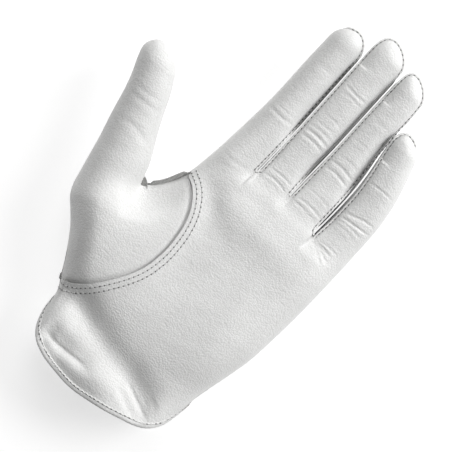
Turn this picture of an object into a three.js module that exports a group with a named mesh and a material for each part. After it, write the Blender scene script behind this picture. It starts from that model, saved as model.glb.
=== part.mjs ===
// A left-hand golf glove in thin white leather, lying on its back with the palm up, filled out as if a hand
// were in it. Millimetres. +Y runs from the cuff to the fingertips, +X from the thumb to the little finger,
// +Z out of the palm. The origin is under the middle of the glove, on the surface that it lies on.
//
// The palm and the fingers are drawn in slices across Y. Every leather panel is a sheet over that drawing,
// which thicken() turns into a closed solid. The fingers are cut into a base and a tip sleeve at the creases
// where they bend.
import * as THREE from 'three';
import { mergeVertices } from 'three/addons/utils/BufferGeometryUtils.js';

// ---------- driving dimensions ----------
const LEATHER = 0.8;            // thickness of the leather with its turned edges
const BINDING = 0.9;            // thickness of the cuff binding
const GAP = 0.36;               // clearance between neighbouring pieces
const HALF_GAP = GAP / 2;
const SEAM_GAP = 1.3;           // clearance beside the thumb's long curved seam
const DRAWN_CENTRE = [-20.5, 6.2];  // middle of the outline's box, in drawing coordinates

const EDGE_RADIUS = 15;         // how far in from the outline the palm reaches its full height
const EDGE_FLAT = 0.25;         // first part of that, which is still level with the edge
const FRONT_SEAM = 64;          // degrees from straight up at which a finger's palm side is sewn
const BACK_SEAM = 122;          // and its back side
const FOLD = 90;                // an edge where the leather is folded and not sewn
const TIP_HOLE = 0.13;          // share of the width left open at a sleeve's very tip

const TAB = { root: -24, tip: 27, low: -92, high: -63, corner: 9, thickness: 0.7 };
const TAB_LEVEL = 3.0;          // height of the back panel where the tab lies
const LAYER = 1.0;              // rise from one flat layer of the closure to the next
// The wrist opening: its length and half width as shares of the panel's, and half its width where it ends.
const SLIT = { end: 0.40, halfShare: 0.03, closed: 0.3 };
const ELASTIC = { from: -28, to: 22, low: -91, high: -83, thickness: 1.0 };
const HEM_DROP = 1.6;           // how far the back of the cuff reaches past the front

// ---------- the drawing ----------
// A smooth function of y through rows [y, a, b, ...]; it returns the array [a, b, ...].
function stations(rows) {
  const slope = (i, c) => {
    const a = rows[Math.max(i - 1, 0)];
    const b = rows[Math.min(i + 1, rows.length - 1)];
    return (b[c] - a[c]) / (b[0] - a[0]);
  };
  return (y) => {
    let i = 0;
    while (i < rows.length - 2 && y > rows[i + 1][0]) i++;
    const [p, q] = [rows[i], rows[i + 1]];
    const h = q[0] - p[0];
    const t = (y - p[0]) / h;
    return p.slice(1).map((_, k) => {
      const c = k + 1;
      if (t <= 0) return p[c] + slope(i, c) * (y - p[0]);
      if (t >= 1) return q[c] + slope(i + 1, c) * (y - q[0]);
      return (2 * t ** 3 - 3 * t ** 2 + 1) * p[c] + (t ** 3 - 2 * t ** 2 + t) * h * slope(i, c)
        + (3 * t ** 2 - 2 * t ** 3) * q[c] + (t ** 3 - t ** 2) * h * slope(i + 1, c);
    });
  };
}

// Fingers. edges: [y, left edge, right edge]. heights: [y, middle height, height in front, depth behind].
// base and bend are where the leather folds, tip is the end, cap the length of the rounded end.
const FINGERS = {
  index: {
    edges: stations([[-10, -37, -13.2], [12, -34.3, -12.6], [30, -32.6, -11.9], [45, -31, -11.2],
      [58, -29.9, -10.9], [90, -29.4, -10.9], [106, -28.9, -10.9]]),
    heights: stations([[10, 14.5, 11, 13.5], [30, 14, 10, 10.5], [57, 15.5, 9, 9.2], [88, 18, 8.8, 8.6],
      [112, 21, 8.4, 8.2]]),
    seams: [-FOLD, FRONT_SEAM], base: 30.5, bend: 57, tip: 112, cap: 10,
  },
  middle: {
    edges: stations([[-10, -13.2, 6.6], [12, -11.6, 7.8], [33, -10.1, 8.3], [48, -10, 8.6],
      [60, -9.9, 8.9], [112, -9.9, 8.9]]),
    heights: stations([[10, 14.5, 11, 13.5], [30, 14, 10, 10.5], [60, 15.2, 9.2, 9.4],
      [90, 17.6, 8.9, 8.8], [120, 21, 8.4, 8.2]]),
    seams: [-FRONT_SEAM, FRONT_SEAM], base: 34, bend: 60.3, tip: 120.4, cap: 10.4,
  },
  ring: {
    edges: stations([[-10, 6.6, 27.4], [12, 8.4, 28], [33, 9.4, 28.2], [50, 9.8, 28.4], [62, 9.9, 28.4],
      [72, 9.9, 27.4], [81, 9.9, 26.8], [88, 9.9, 27.2], [96, 9.9, 28.5], [106, 9.9, 28.4]]),
    heights: stations([[10, 14.5, 11, 13.5], [30, 14, 10, 10.5], [55, 15.2, 9.1, 9.2],
      [86, 18, 8.7, 8.6], [115, 21.5, 8.2, 8]]),
    seams: [-FRONT_SEAM, FRONT_SEAM], base: 33.5, bend: 55.5, tip: 114.8, cap: 10.4,
  },
  little: {
    edges: stations([[-10, 27.4, 50], [12, 28.9, 50.7], [26, 30.2, 50.9], [35, 30.9, 50.9],
      [45, 31.3, 50.8], [55, 30.9, 50], [65, 29.8, 48.2], [75, 28.4, 45.4], [83, 27.7, 43.1]]),
    heights: stations([[10, 14.5, 11, 13.5], [26, 14, 10, 10.5], [43, 15.4, 8.9, 9], [62, 18, 8.4, 8.2],
      [91, 23, 7.6, 7.4]]),
    seams: [-FRONT_SEAM, FOLD], base: 27, bend: 42.5, tip: 91, cap: 9.4,
  },
};
const FINGER_NAMES = Object.keys(FINGERS);
const CROTCHES = [[-11.7, 27.8], [8.8, 31], [29.2, 24.3]];

const THUMB = {
  edges: stations([[-30, -74, -46], [-18, -76.3, -47.6], [-6, -78.7, -51], [0, -80.2, -53.4],
    [10, -82.9, -58.2], [20, -85.6, -62.8], [30, -89.2, -67.4], [36, -91.4, -70.2]]),
  heights: stations([[-30, 19, 14, 14.5], [-6, 20, 12.2, 12.2], [10, 21.5, 10.8, 10.8],
    [46, 25, 9.6, 9.6]]),
  base: -6, bend: 10, tip: 46.2, cap: 12.2,
};

// Outline of the hand's body on the thumb's side, from below the cuff to the index finger, then on the other.
const THUMB_SIDE = [[-41, -116], [-42.6, -98], [-43.6, -86], [-43.9, -79], [-45, -75], [-47.4, -70.8],
  [-53.5, -60.3], [-60.2, -50.2], [-66, -43.6], [-70.6, -38.6], [-73.2, -33], [-74.8, -26],
  [-76.8, -15], [-78.7, -6], [-80.2, 0], [-82.9, 10], [-85.6, 20], [-89.2, 30], [-91.8, 38],
  [-90.6, 43.5], [-84, 46.2], [-76.6, 43.8], [-70.2, 36], [-67.4, 30], [-62.8, 20], [-58.2, 10],
  [-53.4, 0], [-51, -6], [-49, -10], [-46, -9.4], [-42.4, -6.2], [-39.6, -2.4], [-36.4, 4.2],
  [-34.8, 11], [-33.6, 20], [-32.6, 30], [-31, 45], [-29.9, 58]];
const LITTLE_SIDE = [[50.6, 58], [50.9, 35], [50.9, 22], [50.6, 8], [49.9, -10], [48.8, -25],
  [47.2, -40], [44.6, -52], [42, -62], [39.9, -71], [39.1, -80], [38.6, -92], [37, -116]];

// The palm panel's sewn edge round the thumb, from the wrist up to the web, and the thumb's seam on the back.
const THUMB_SEAM = [[-47.4, -71.2], [-44, -70.7], [-41, -69.3], [-36.6, -65.8], [-32.6, -61.4],
  [-28.4, -55.6], [-24, -48.6], [-20.4, -40.6], [-18.6, -32], [-18.3, -24], [-19.2, -15], [-21.6, -7],
  [-25.4, -0.6], [-29.6, 3.2], [-33.4, 5.4]];
const BACK_THUMB_SEAM = [[-47.4, -71.2], [-50.5, -62], [-55, -50], [-58.6, -38], [-59.4, -27],
  [-56.4, -18], [-49.6, -13.6]];
const WEB_SEAM = [[-46.8, -11.4], [-43.2, -9.6], [-39.6, -5.4], [-36.8, -1], [-34.4, 3.4]];

// Free edge of the cuff on the palm side, from the thumb side to the other.
const HEM = [[-43.8, -79.5], [-42.7, -89], [-38.6, -97.6], [-29.5, -103], [-17, -105.7], [-6, -106.2],
  [8, -103.8], [20, -100.8], [29.5, -97.6], [35.6, -91.8], [38.2, -84], [39.4, -76.5]];
// Where the binding's other edge lies on the leather.
const BOUND = [[-44.4, -76.6], [-40.6, -87.4], [-36.6, -95.2], [-28.4, -100.2], [-16.6, -102.9],
  [-6, -103.4], [7.4, -101], [19.2, -98], [27.6, -95.1], [33, -90.4], [35.6, -83.2], [39.5, -73.6]];

// Heights of the body: [y, middle height, height of the palm above it, depth of the back below it].
const BODY = stations([[-112, 19.4, 15.2, 19], [-104, 19.2, 15, 17.6], [-96, 18.8, 13.6, 16.4],
  [-84, 18, 12.4, 15.4], [-72, 17.4, 12.8, 14.8], [-56, 16.8, 14, 14.2], [-38, 16.2, 13.6, 14.8],
  [-12, 15.4, 12.6, 16], [8, 14.8, 12.4, 15.6], [22, 14.3, 11, 13], [32, 14, 10, 10.5]]);
// Soft mounds and hollows of the palm: [x, y, half width, half length, height].
const MOUNDS = [[-50, -34, 17, 26, 7], [27, -42, 15, 30, 2.6], [-2, -22, 16, 26, -3],
  [14, 10, 26, 10, 1.4], [-24, 8, 10, 14, 1], [-20, -93, 12, 5, -2.4], [16, -88, 16, 4, -2]];
const WEB_HOLLOW = { at: [-42, -3], radius: 11, share: 0.55 };

// ---------- helpers ----------
const radians = THREE.MathUtils.degToRad;
const lerp = THREE.MathUtils.lerp;
const smooth = (t) => THREE.MathUtils.smoothstep(t, 0, 1);
const spline = (points) => new THREE.SplineCurve(points.map((p) => new THREE.Vector2(...p)));
// An even walk along a spline: t from 0 to 1 gives [x, y].
const walk = (points) => {
  const curve = spline(points);
  return (t) => curve.getPointAt(Math.min(Math.max(t, 0), 1)).toArray();
};

const OUTLINE = [THUMB_SIDE, LITTLE_SIDE].map((side) => spline(side).getSpacedPoints(260));
function distanceToOutline(x, y) {
  let best = Infinity;
  for (const side of OUTLINE) {
    for (let i = 1; i < side.length; i++) {
      const [a, b] = [side[i - 1], side[i]];
      const [dx, dy] = [b.x - a.x, b.y - a.y];
      const t = Math.min(Math.max(((x - a.x) * dx + (y - a.y) * dy) / (dx * dx + dy * dy), 0), 1);
      best = Math.min(best, Math.hypot(x - a.x - t * dx, y - a.y - t * dy));
    }
  }
  return best;
}
// Quarter-round rise of the leather from its edge: 0 on the outline, 1 at the radius and beyond.
const rise = (d, radius) => Math.sqrt(1 - (1 - THREE.MathUtils.clamp((d - EDGE_FLAT) / radius, 0, 1)) ** 2);

// Middle height of the body: the thumb's side stands a little higher.
const THUMB_RISE = { from: -38, slope: 0.09 };
const middleHeight = (x, y) => BODY(y)[0] + THUMB_RISE.slope * Math.max(THUMB_RISE.from - x, 0);
const webShare = (x, y) => {
  const away = Math.hypot(x - WEB_HOLLOW.at[0], y - WEB_HOLLOW.at[1]) / WEB_HOLLOW.radius;
  return 1 - WEB_HOLLOW.share * Math.exp(-away * away / 2);
};
const mounds = (x, y) => MOUNDS.reduce((sum, [mx, my, rx, ry, h]) =>
  sum + h * Math.exp(-(((x - mx) / rx) ** 2) - ((y - my) / ry) ** 2), 0);
const bodyRise = (x, y) => webShare(x, y) * rise(distanceToOutline(x, y), EDGE_RADIUS);
const palmHeight = (x, y) => middleHeight(x, y) + (BODY(y)[1] + mounds(x, y)) * bodyRise(x, y);
// The lowest level that the back can reach: it is raised over the folded tab at the wrist.
const TAB_RISE = { hand: -40, full: -52, cuff: -106, ramp: 8 };
const floorOf = (y) => {
  const fromHand = smooth((TAB_RISE.hand - y) / (TAB_RISE.hand - TAB_RISE.full));
  return TAB_LEVEL * fromHand * smooth((y - TAB_RISE.cuff) / TAB_RISE.ramp);
};
const backHeight = (x, y) => Math.max(middleHeight(x, y) - BODY(y)[2] * bodyRise(x, y), floorOf(y));

// A sleeve's slice: the edges and heights at y, with the rounded end.
function slice(sleeve, y) {
  const start = sleeve.tip - sleeve.cap;
  const round = y > start ? Math.sqrt(Math.max(1 - ((y - start) / sleeve.cap) ** 2, TIP_HOLE ** 2)) : 1;
  const [left, right] = sleeve.edges(y);
  const [middle, front, back] = sleeve.heights(y);
  const a = ((right - left) / 2) * round;
  return { x: (left + right) / 2, a, z: middle, front: front * round, back: back * round };
}
// A point of the sleeve's skin: angle 0 is straight up, 90 towards the little finger.
function skin(sleeve, y, degrees) {
  const s = slice(sleeve, y);
  const angle = radians(degrees);
  const up = Math.cos(angle);
  return [s.x + s.a * Math.sin(angle), y, s.z + (up > 0 ? s.front : s.back) * up];
}

// A grid of points made by at(u, v), u and v from 0 to 1, as a sheet whose front faces the viewer when u runs
// to the right and v runs up.
function grid(columns, rows, at) {
  const points = [];
  const faces = [];
  for (let j = 0; j <= rows; j++) for (let i = 0; i <= columns; i++) points.push(at(i / columns, j / rows));
  for (let j = 0; j < rows; j++) {
    for (let i = 0; i < columns; i++) {
      const a = j * (columns + 1) + i;
      const [b, c, d] = [a + 1, a + columns + 2, a + columns + 1];
      faces.push([a, b, c], [a, c, d]);
    }
  }
  return { points, faces };
}
// Joins sheets at the points that they share.
function join(...sheets) {
  const reach = 0.05;
  const points = [];
  const faces = [];
  for (const sheet of sheets) {
    const index = sheet.points.map((p) => {
      let found = points.findIndex((q) => Math.hypot(p[0] - q[0], p[1] - q[1], p[2] - q[2]) < reach);
      if (found < 0) found = points.push([...p]) - 1;
      return found;
    });
    for (const face of sheet.faces) {
      const f = face.map((i) => index[i]);
      if (new Set(f).size === 3) faces.push(f);
    }
  }
  return { points, faces };
}
const flip = (sheet) => ({ points: sheet.points, faces: sheet.faces.map(([a, b, c]) => [a, c, b]) });

// The closed solid between a sheet and a copy of it, set back by the thickness along its normals. Where
// level(p) holds, the sheet ends in a level edge against another sheet's edge, and is set back sideways only.
function thicken(sheet, thickness, level = () => false) {
  const { points, faces } = join(sheet);
  const normals = points.map(() => new THREE.Vector3());
  const corner = (i) => new THREE.Vector3(...points[i]);
  for (const [a, b, c] of faces) {
    const normal = corner(b).sub(corner(a)).cross(corner(c).sub(corner(a)));
    for (const i of [a, b, c]) normals[i].add(normal);
  }
  points.forEach((p, i) => {
    if (level(p)) normals[i].z = 0;
  });
  const inner = points.map((p, i) => corner(i).addScaledVector(normals[i].normalize(), -thickness).toArray());
  const n = points.length;
  const edges = new Map();
  for (const [a, b, c] of faces) {
    for (const [p, q] of [[a, b], [b, c], [c, a]]) {
      if (edges.has(`${q},${p}`)) edges.delete(`${q},${p}`);
      else edges.set(`${p},${q}`, [p, q]);
    }
  }
  const all = [...faces, ...faces.map(([a, b, c]) => [a + n, c + n, b + n])];
  for (const [p, q] of edges.values()) all.push([q, p, p + n], [q, p + n, q + n]);
  const geometry = new THREE.BufferGeometry();
  geometry.setAttribute('position', new THREE.Float32BufferAttribute([...points, ...inner].flat(), 3));
  geometry.setIndex(all.flat());
  return geometry;
}

// A four-sided patch of the plan between curves, each a function of 0..1: bottom and top run with u, left and
// right with v.
function patch(bottom, top, left, right) {
  return (u, v) => {
    const [b, t, l, r] = [bottom(u), top(u), left(v), right(v)];
    const [bl, br, tl, tr] = [bottom(0), bottom(1), top(0), top(1)];
    return [0, 1].map((k) => lerp(b[k], t[k], v) + lerp(l[k], r[k], u)
      - lerp(lerp(bl[k], br[k], u), lerp(tl[k], tr[k], u), v));
  };
}
// Two walks, one after the other, with the first taking the given share.
const then = (first, second, share) => (t) =>
  (t < share ? first(t / share) : second((t - share) / (1 - share)));
const segment = (a, b) => (t) => [lerp(a[0], b[0], t), lerp(a[1], b[1], t)];
// Crowds the columns towards an edge where the leather turns down: side -1 is u = 0, 1 is u = 1, 0 is neither.
function crowd(u, side) {
  if (side < 0) return u * u * (1.6 - 0.6 * u);
  return side > 0 ? 1 - (1 - u) ** 2 : u;
}

// ---------- materials ----------
const white = new THREE.MeshStandardMaterial({ color: 0xe9e9e8, roughness: 0.55, metalness: 0 });
const sideLeather = new THREE.MeshStandardMaterial({ color: 0xe2e2e1, roughness: 0.6, metalness: 0 });
const binding = new THREE.MeshStandardMaterial({ color: 0xdcdcdb, roughness: 0.6, metalness: 0 });
const elasticWeb = new THREE.MeshStandardMaterial({ color: 0xf0efec, roughness: 0.9, metalness: 0 });
const hook = new THREE.MeshStandardMaterial({ color: 0xdededc, roughness: 0.85, metalness: 0 });

const glove = new THREE.Group();
function add(name, geometry, material) {
  const mesh = new THREE.Mesh(geometry, material);
  mesh.name = name;
  glove.add(mesh);
  return mesh;
}

// ---------- the palm and the back ----------
const ROWS = 22;
const COLUMNS = 5;
const UNDER_CROTCH = 0.86;      // share of the rows below the crotches
const VALLEY = { from: 2, to: 4 };  // the fingers' rounds start at this y and are full this far below the base
const HEM_SHARES = [0, 0.3, 0.5, 0.7, 1];
const bound = walk(BOUND);

// Lower edge of a panel at a share of the way from the thumb side to the other. The back reaches further.
function lowEdge(share, front, curve = bound) {
  const [x, y] = curve(share);
  return [x, y - (front ? 0 : HEM_DROP * Math.sin(Math.PI * share))];
}
// The panels' edge on the thumb's side: cuff, thumb seam, then the folded side of the index finger.
function thumbEdge(front, top) {
  const web = WEB_SEAM.map(([x, y]) => [x + GAP, y - GAP]);
  const seam = front ? THUMB_SEAM : [...BACK_THUMB_SEAM, ...web];
  return walk([BOUND[0], ...seam, [-35.9, 6.4], [-34.8, 11], [-33.6, 20], [-32.6, top]]);
}
function littleEdge(top) {
  const points = LITTLE_SIDE.filter(([, y]) => y > -73 && y < top - 2).reverse();
  return walk([BOUND[BOUND.length - 1], ...points, [50.9, top]]);
}
// The border of column k on one side: up to the crotch, then along the finger's seam to its base.
function seamEdge(k, side, front) {
  const finger = FINGERS[FINGER_NAMES[k]];
  const crotch = CROTCHES[side < 0 ? k - 1 : k];
  const share = HEM_SHARES[side < 0 ? k : k + 1];
  const angle = front ? FRONT_SEAM : 180 - BACK_SEAM;
  const top = finger.base - HALF_GAP;
  const upper = (t) => {
    const y = lerp(crotch[1], top, t);
    const [x] = skin(finger, y, side * angle);
    return [lerp(crotch[0], x, smooth(Math.min(t * 1.6, 1))), y];
  };
  const lower = segment(lowEdge(share, front), crotch);
  if (front || k !== (side > 0 ? 1 : 2)) return then(lower, upper, UNDER_CROTCH);
  const [slitX, slitY] = lower(SLIT.end);
  const slit = segment(lowEdge(share - side * SLIT.halfShare, front), [slitX - side * SLIT.closed, slitY]);
  return then(then(slit, segment([slitX, slitY], crotch), SLIT.end), upper, UNDER_CROTCH);
}
// Plan of one finger's column of a panel, from the hem to the finger's base.
function columnPlan(k, front) {
  const top = FINGERS[FINGER_NAMES[k]].base - HALF_GAP;
  const left = k === 0 ? thumbEdge(front, top) : seamEdge(k, -1, front);
  const right = k === 3 ? littleEdge(top) : seamEdge(k, 1, front);
  const first = HEM_SHARES[k] + (!front && k === 2 ? SLIT.halfShare : 0);
  const last = HEM_SHARES[k + 1] - (!front && k === 1 ? SLIT.halfShare : 0);
  const bottom = (u) => lowEdge(lerp(first, last, u), front);
  return patch(bottom, segment(left(1), right(1)), left, right);
}
// Height of a panel in column k: the palm's own height, taken over by the finger's round near its base.
function panelHeight(k, front, x, y) {
  const finger = FINGERS[FINGER_NAMES[k]];
  const s = slice(finger, y);
  const seam = Math.sin(radians(front ? FRONT_SEAM : 180 - BACK_SEAM));
  const across = THREE.MathUtils.clamp((x - s.x) / s.a, k === 0 ? -1 : -seam, k === 3 ? 1 : seam);
  const round = Math.sqrt(1 - across * across);
  const share = smooth((y - VALLEY.from) / (finger.base - VALLEY.to - VALLEY.from));
  if (front) return lerp(palmHeight(x, y), s.z + s.front * round, share);
  return lerp(backHeight(x, y), s.z - s.back * round, share);
}
// The level edges where the two panels meet: the cuff's sides and the outer sides of the outer fingers.
const THUMB_SEWN = { from: -72, to: 6 };    // between these the thumb's piece lies between the two panels
const FINGER_REACH = 24;        // how far the folded edge takes to reach the finger's own middle height
const thumbSewn = (y) => y >= THUMB_SEWN.from && y <= THUMB_SEWN.to;
const onFold = (k, u, y) => (k === 3 && u === 1) || (k === 0 && u === 0 && !thumbSewn(y));
function foldHeight(k, x, y) {
  const s = slice(FINGERS[FINGER_NAMES[k]], y);
  return lerp(middleHeight(x, y), s.z, smooth((y - VALLEY.from) / FINGER_REACH));
}
function panel(front) {
  const folds = [];
  const columns = FINGER_NAMES.map((_, k) => {
    const plan = columnPlan(k, front);
    const side = k === 0 ? -1 : k === 3 ? 1 : 0;
    return grid(COLUMNS, ROWS, (u, v) => {
      const [x, y] = plan(crowd(u, side), v);
      if (onFold(k, u, y)) {
        const p = [x, y, foldHeight(k, x, y) + (front ? HALF_GAP : -HALF_GAP)];
        folds.push(p);
        return p;
      }
      const z = panelHeight(k, front, x, y);
      return [x, y, front ? z + HALF_GAP : Math.max(z - HALF_GAP, floorOf(y))];
    });
  });
  // Neighbouring columns share their border from the hem, or from the slit's end, to the crotch.
  for (let k = 0; k < 3; k++) {
    for (let j = 0; j <= ROWS; j++) {
      const v = j / ROWS;
      const open = !front && k === 1 && v < SLIT.end * UNDER_CROTCH;
      if (open || v > UNDER_CROTCH) continue;
      const p = columns[k].points[j * (COLUMNS + 1) + COLUMNS];
      const q = columns[k + 1].points[j * (COLUMNS + 1)];
      for (let c = 0; c < 3; c++) p[c] = q[c] = (p[c] + q[c]) / 2;
    }
  }
  const sheet = join(...columns);
  const level = (p) => folds.some((q) => Math.hypot(p[0] - q[0], p[1] - q[1], p[2] - q[2]) < 0.1);
  return thicken(front ? sheet : flip(sheet), LEATHER, level);
}
add('palm_panel', panel(true), white);
add('back_panel', panel(false), white);

// ---------- the cuff ----------
const SIDE_SHARE = 0.04;        // share of the hem left free at each side of the cuff
const BINDING_WIDTH = 0.72;     // share of the way from the hem to the bound line that the binding covers
const LEVEL_ENDS = { thumbSide: 0.9, littleSide: 0.6 };  // how close to the hem's ends its edge is level
// A strip of binding along the hem, over shares [from, to] of its length.
function hemBinding(front, from, to) {
  const outer = walk(HEM);
  const sheet = grid(20, 2, (u, v) => {
    const share = lerp(from, to, u);
    const [ox, oy] = lowEdge(share, front, outer);
    const [ix, iy] = lowEdge(share, front);
    const [x, y] = [lerp(ox, ix, v * BINDING_WIDTH), lerp(oy, iy, v * BINDING_WIDTH)];
    return [x, y, front ? palmHeight(x, y) + GAP : backHeight(x, y) - GAP];
  });
  const [first, last] = [HEM[0], HEM[HEM.length - 1]];
  const level = ([x]) => x < first[0] + LEVEL_ENDS.thumbSide || x > last[0] - LEVEL_ENDS.littleSide;
  return thicken(front ? sheet : flip(sheet), BINDING, level);
}
add('cuff_binding_palm', hemBinding(true, SIDE_SHARE, 1 - SIDE_SHARE), binding);
add('cuff_binding_back_thumb_side', hemBinding(false, SIDE_SHARE, 0.5 - SLIT.halfShare), binding);
add('cuff_binding_back_little_side', hemBinding(false, 0.5 + SLIT.halfShare, 1 - SIDE_SHARE), binding);

const elasticSheet = grid(16, 2, (u, v) => {
  const [x, y] = [lerp(ELASTIC.from, ELASTIC.to, u), lerp(ELASTIC.low, ELASTIC.high, v)];
  return [x, y, palmHeight(x, y) - LEATHER - GAP];
});
add('wrist_elastic', thicken(elasticSheet, ELASTIC.thickness), elasticWeb);

// ---------- the fingers ----------
const CAP_ROWS = 6;             // rows over a rounded end
// A panel of a sleeve between two angles and two heights, with a gap left on every side.
function sleevePanel(sleeve, from, to, start, end, columns, rows) {
  const capped = end > sleeve.tip - sleeve.cap;
  const capRows = capped ? CAP_ROWS : 0;
  const capStart = sleeve.tip - sleeve.cap;
  const closed = to - from >= 360;
  return grid(columns, rows + capRows, (u, v) => {
    const row = v * (rows + capRows);
    const low = start + HALF_GAP;
    const high = capped ? capStart : end - HALF_GAP;
    const turn = Math.acos(TIP_HOLE) * Math.max(row - rows, 0) / (capRows || 1);
    const y = row <= rows ? lerp(low, high, row / rows) : capStart + sleeve.cap * Math.sin(turn);
    const s = slice(sleeve, y);
    const trim = closed ? 0 : (HALF_GAP / Math.min(s.a, s.front)) * THREE.MathUtils.RAD2DEG;
    return skin(sleeve, y, lerp(from + trim, to - trim, u));
  });
}
const ACROSS = { palm: 8, back: 7, side: 3 };  // columns of each panel of a finger
// The panels of one finger between two heights: the palm side, the back and the strips between them.
function fingerPiece(name, finger, start, end, rows) {
  const [left, right] = finger.seams;
  const backLeft = left === -FOLD ? 360 - FOLD : 360 - BACK_SEAM;
  const backRight = right === FOLD ? FOLD : BACK_SEAM;
  const sewn = (from, to, columns) =>
    thicken(sleevePanel(finger, from, to, start, end, columns, rows), LEATHER);
  add(`${name}_palm_side`, sewn(left, right, ACROSS.palm), white);
  add(`${name}_back`, sewn(backRight, backLeft, ACROSS.back), white);
  if (right !== FOLD) add(`${name}_side_right`, sewn(right, BACK_SEAM, ACROSS.side), sideLeather);
  if (left !== -FOLD) add(`${name}_side_left`, sewn(-BACK_SEAM, left, ACROSS.side), sideLeather);
}
for (const name of FINGER_NAMES) {
  const finger = FINGERS[name];
  fingerPiece(`${name}_base`, finger, finger.base, finger.bend, 4);
  fingerPiece(`${name}_tip`, finger, finger.bend, finger.tip, 7);
}

// The foot of the side strip that two neighbouring fingers share: down one, round the crotch, up the other.
const FOOT = {
  above: 1.2,                   // how far it stays above the crotch
  halfWidth: 0.55,              // half its width at the turn
  turn: 0.8,                    // share of the way down at which the turn starts
  lift: 1.0,                    // how much narrower it gets there, on each side
};
function sideFoot(k) {
  const sides = [[FINGERS[FINGER_NAMES[k]], 1], [FINGERS[FINGER_NAMES[k + 1]], -1]];
  const [cx, cy] = CROTCHES[k];
  const bottomOf = (share) => {
    const zs = sides.map(([finger, side]) => skin(finger, cy, side * share)[2]);
    return (zs[0] + zs[1]) / 2;
  };
  return grid(12, 4, (u, v) => {
    const [finger, side] = sides[u < 0.5 ? 0 : 1];
    const down = 1 - Math.abs(2 * u - 1);
    const y = lerp(finger.base - HALF_GAP, cy + FOOT.above, Math.sin(down * Math.PI / 2));
    const s = slice(finger, y);
    const trim = (HALF_GAP / s.front) * THREE.MathUtils.RAD2DEG;
    const angle = lerp(FRONT_SEAM + trim, BACK_SEAM - trim, v);
    const [x, , z] = skin(finger, y, side * angle);
    const near = smooth(down);
    const apart = side * FOOT.halfWidth * (1 - smooth((down - FOOT.turn) / (1 - FOOT.turn)));
    const narrowed = (1 - 2 * v) * FOOT.lift * smooth(down * 2);
    return [lerp(x, cx - apart, near), y, lerp(z, bottomOf(angle), near) - narrowed];
  });
}
['index_middle', 'middle_ring', 'ring_little'].forEach((name, k) => {
  add(`${name}_side_foot`, thicken(sideFoot(k), LEATHER), sideLeather);
});

// ---------- the thumb ----------
const thumbRing = slice(THUMB, THUMB.base);
// Where the thumb's round takes over from the palm: along the thumb, and across towards the palm.
const THUMB_ROUND = { from: -34, length: 24, inner: 3, fade: 6 };
const thumbShare = (y) => smooth((y - THUMB_ROUND.from) / THUMB_ROUND.length);
// Height of the thumb's base: the palm's own, taken over by the thumb's round near the ring.
function thenarHeight(front, x, y) {
  const s = slice(THUMB, y);
  const across = THREE.MathUtils.clamp((x - s.x) / s.a, -1, 1);
  const round = Math.sqrt(1 - across * across);
  const inside = (x - thumbRing.x - thumbRing.a + THUMB_ROUND.inner) / THUMB_ROUND.fade;
  const share = thumbShare(y) * (1 - smooth(inside));
  const own = front ? palmHeight(x, y) : Math.max(backHeight(x, y), 0);
  return lerp(own, front ? s.z + s.front * round : s.z - s.back * round, share);
}
const THUMB_START = [-47.9, -70.6];         // where the thumb's piece starts at the wrist
const WEB_END = { front: [-48.6, -11.2], back: [-50.6, -12.6] };  // its corners beside the web
const THUMB_OUTER = { first: 6, last: 13 };  // which points of the outline the thumb's base follows
const WEB_CLEAR = [1.1, -2.8];  // how far the front half stays from the web's seam
const BACK_CLEAR = [-1.56, 0.39];   // and the back half from its own seam
const RING_SHARE = { front: 0.6, back: 0.85 };  // share of the top edge along the thumb's ring
const NOTCH_SHARE = 0.25;       // share of the rest of the front's top edge from the ring to the web
// The base of the thumb: a front and a back half, which share the edge on the outline.
function thumbBase() {
  const top = THUMB.base - HALF_GAP;
  const outer = THUMB_SIDE.slice(THUMB_OUTER.first, THUMB_OUTER.last);
  const silhouette = walk([THUMB_START, ...outer, [thumbRing.x - thumbRing.a, top]]);
  const ringEnd = [thumbRing.x + thumbRing.a, top];
  const moved = (points, [dx, dy]) => points.map(([x, y]) => [x + dx, y + dy]);
  const seam = walk([THUMB_START, ...moved(THUMB_SEAM.slice(1), [-SEAM_GAP, 0])]);
  const webFront = walk([WEB_END.front, ...moved(WEB_SEAM, WEB_CLEAR), seam(1)]);
  const ring = segment(silhouette(1), ringEnd);
  const notch = then(segment(ringEnd, WEB_END.front), webFront, NOTCH_SHARE);
  const topFront = then(ring, notch, RING_SHARE.front);
  const backSeam = walk([THUMB_START, ...moved(BACK_THUMB_SEAM.slice(1, -1), BACK_CLEAR), WEB_END.back]);
  const topBack = then(ring, segment(ringEnd, WEB_END.back), RING_SHARE.back);
  const half = (topEdge, inner, isFront) => {
    const plan = patch(() => THUMB_START, topEdge, silhouette, inner);
    return grid(10, 14, (u, v) => {
      const [x, y] = plan(crowd(u, -1), v);
      if (u === 0) return [x, y, lerp(middleHeight(x, y), thumbRing.z, thumbShare(y))];
      return [x, y, thenarHeight(isFront, x, y) + (isFront ? 0 : HALF_GAP / 2)];
    });
  };
  return thicken(join(half(topFront, seam, true), flip(half(topBack, backSeam, false))), LEATHER);
}
add('thumb_base', thumbBase(), white);
add('thumb_middle', thicken(sleevePanel(THUMB, 0, 360, THUMB.base, THUMB.bend, 20, 4), LEATHER), white);
add('thumb_tip', thicken(sleevePanel(THUMB, 0, 360, THUMB.bend, THUMB.tip, 20, 6), LEATHER), white);

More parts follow.
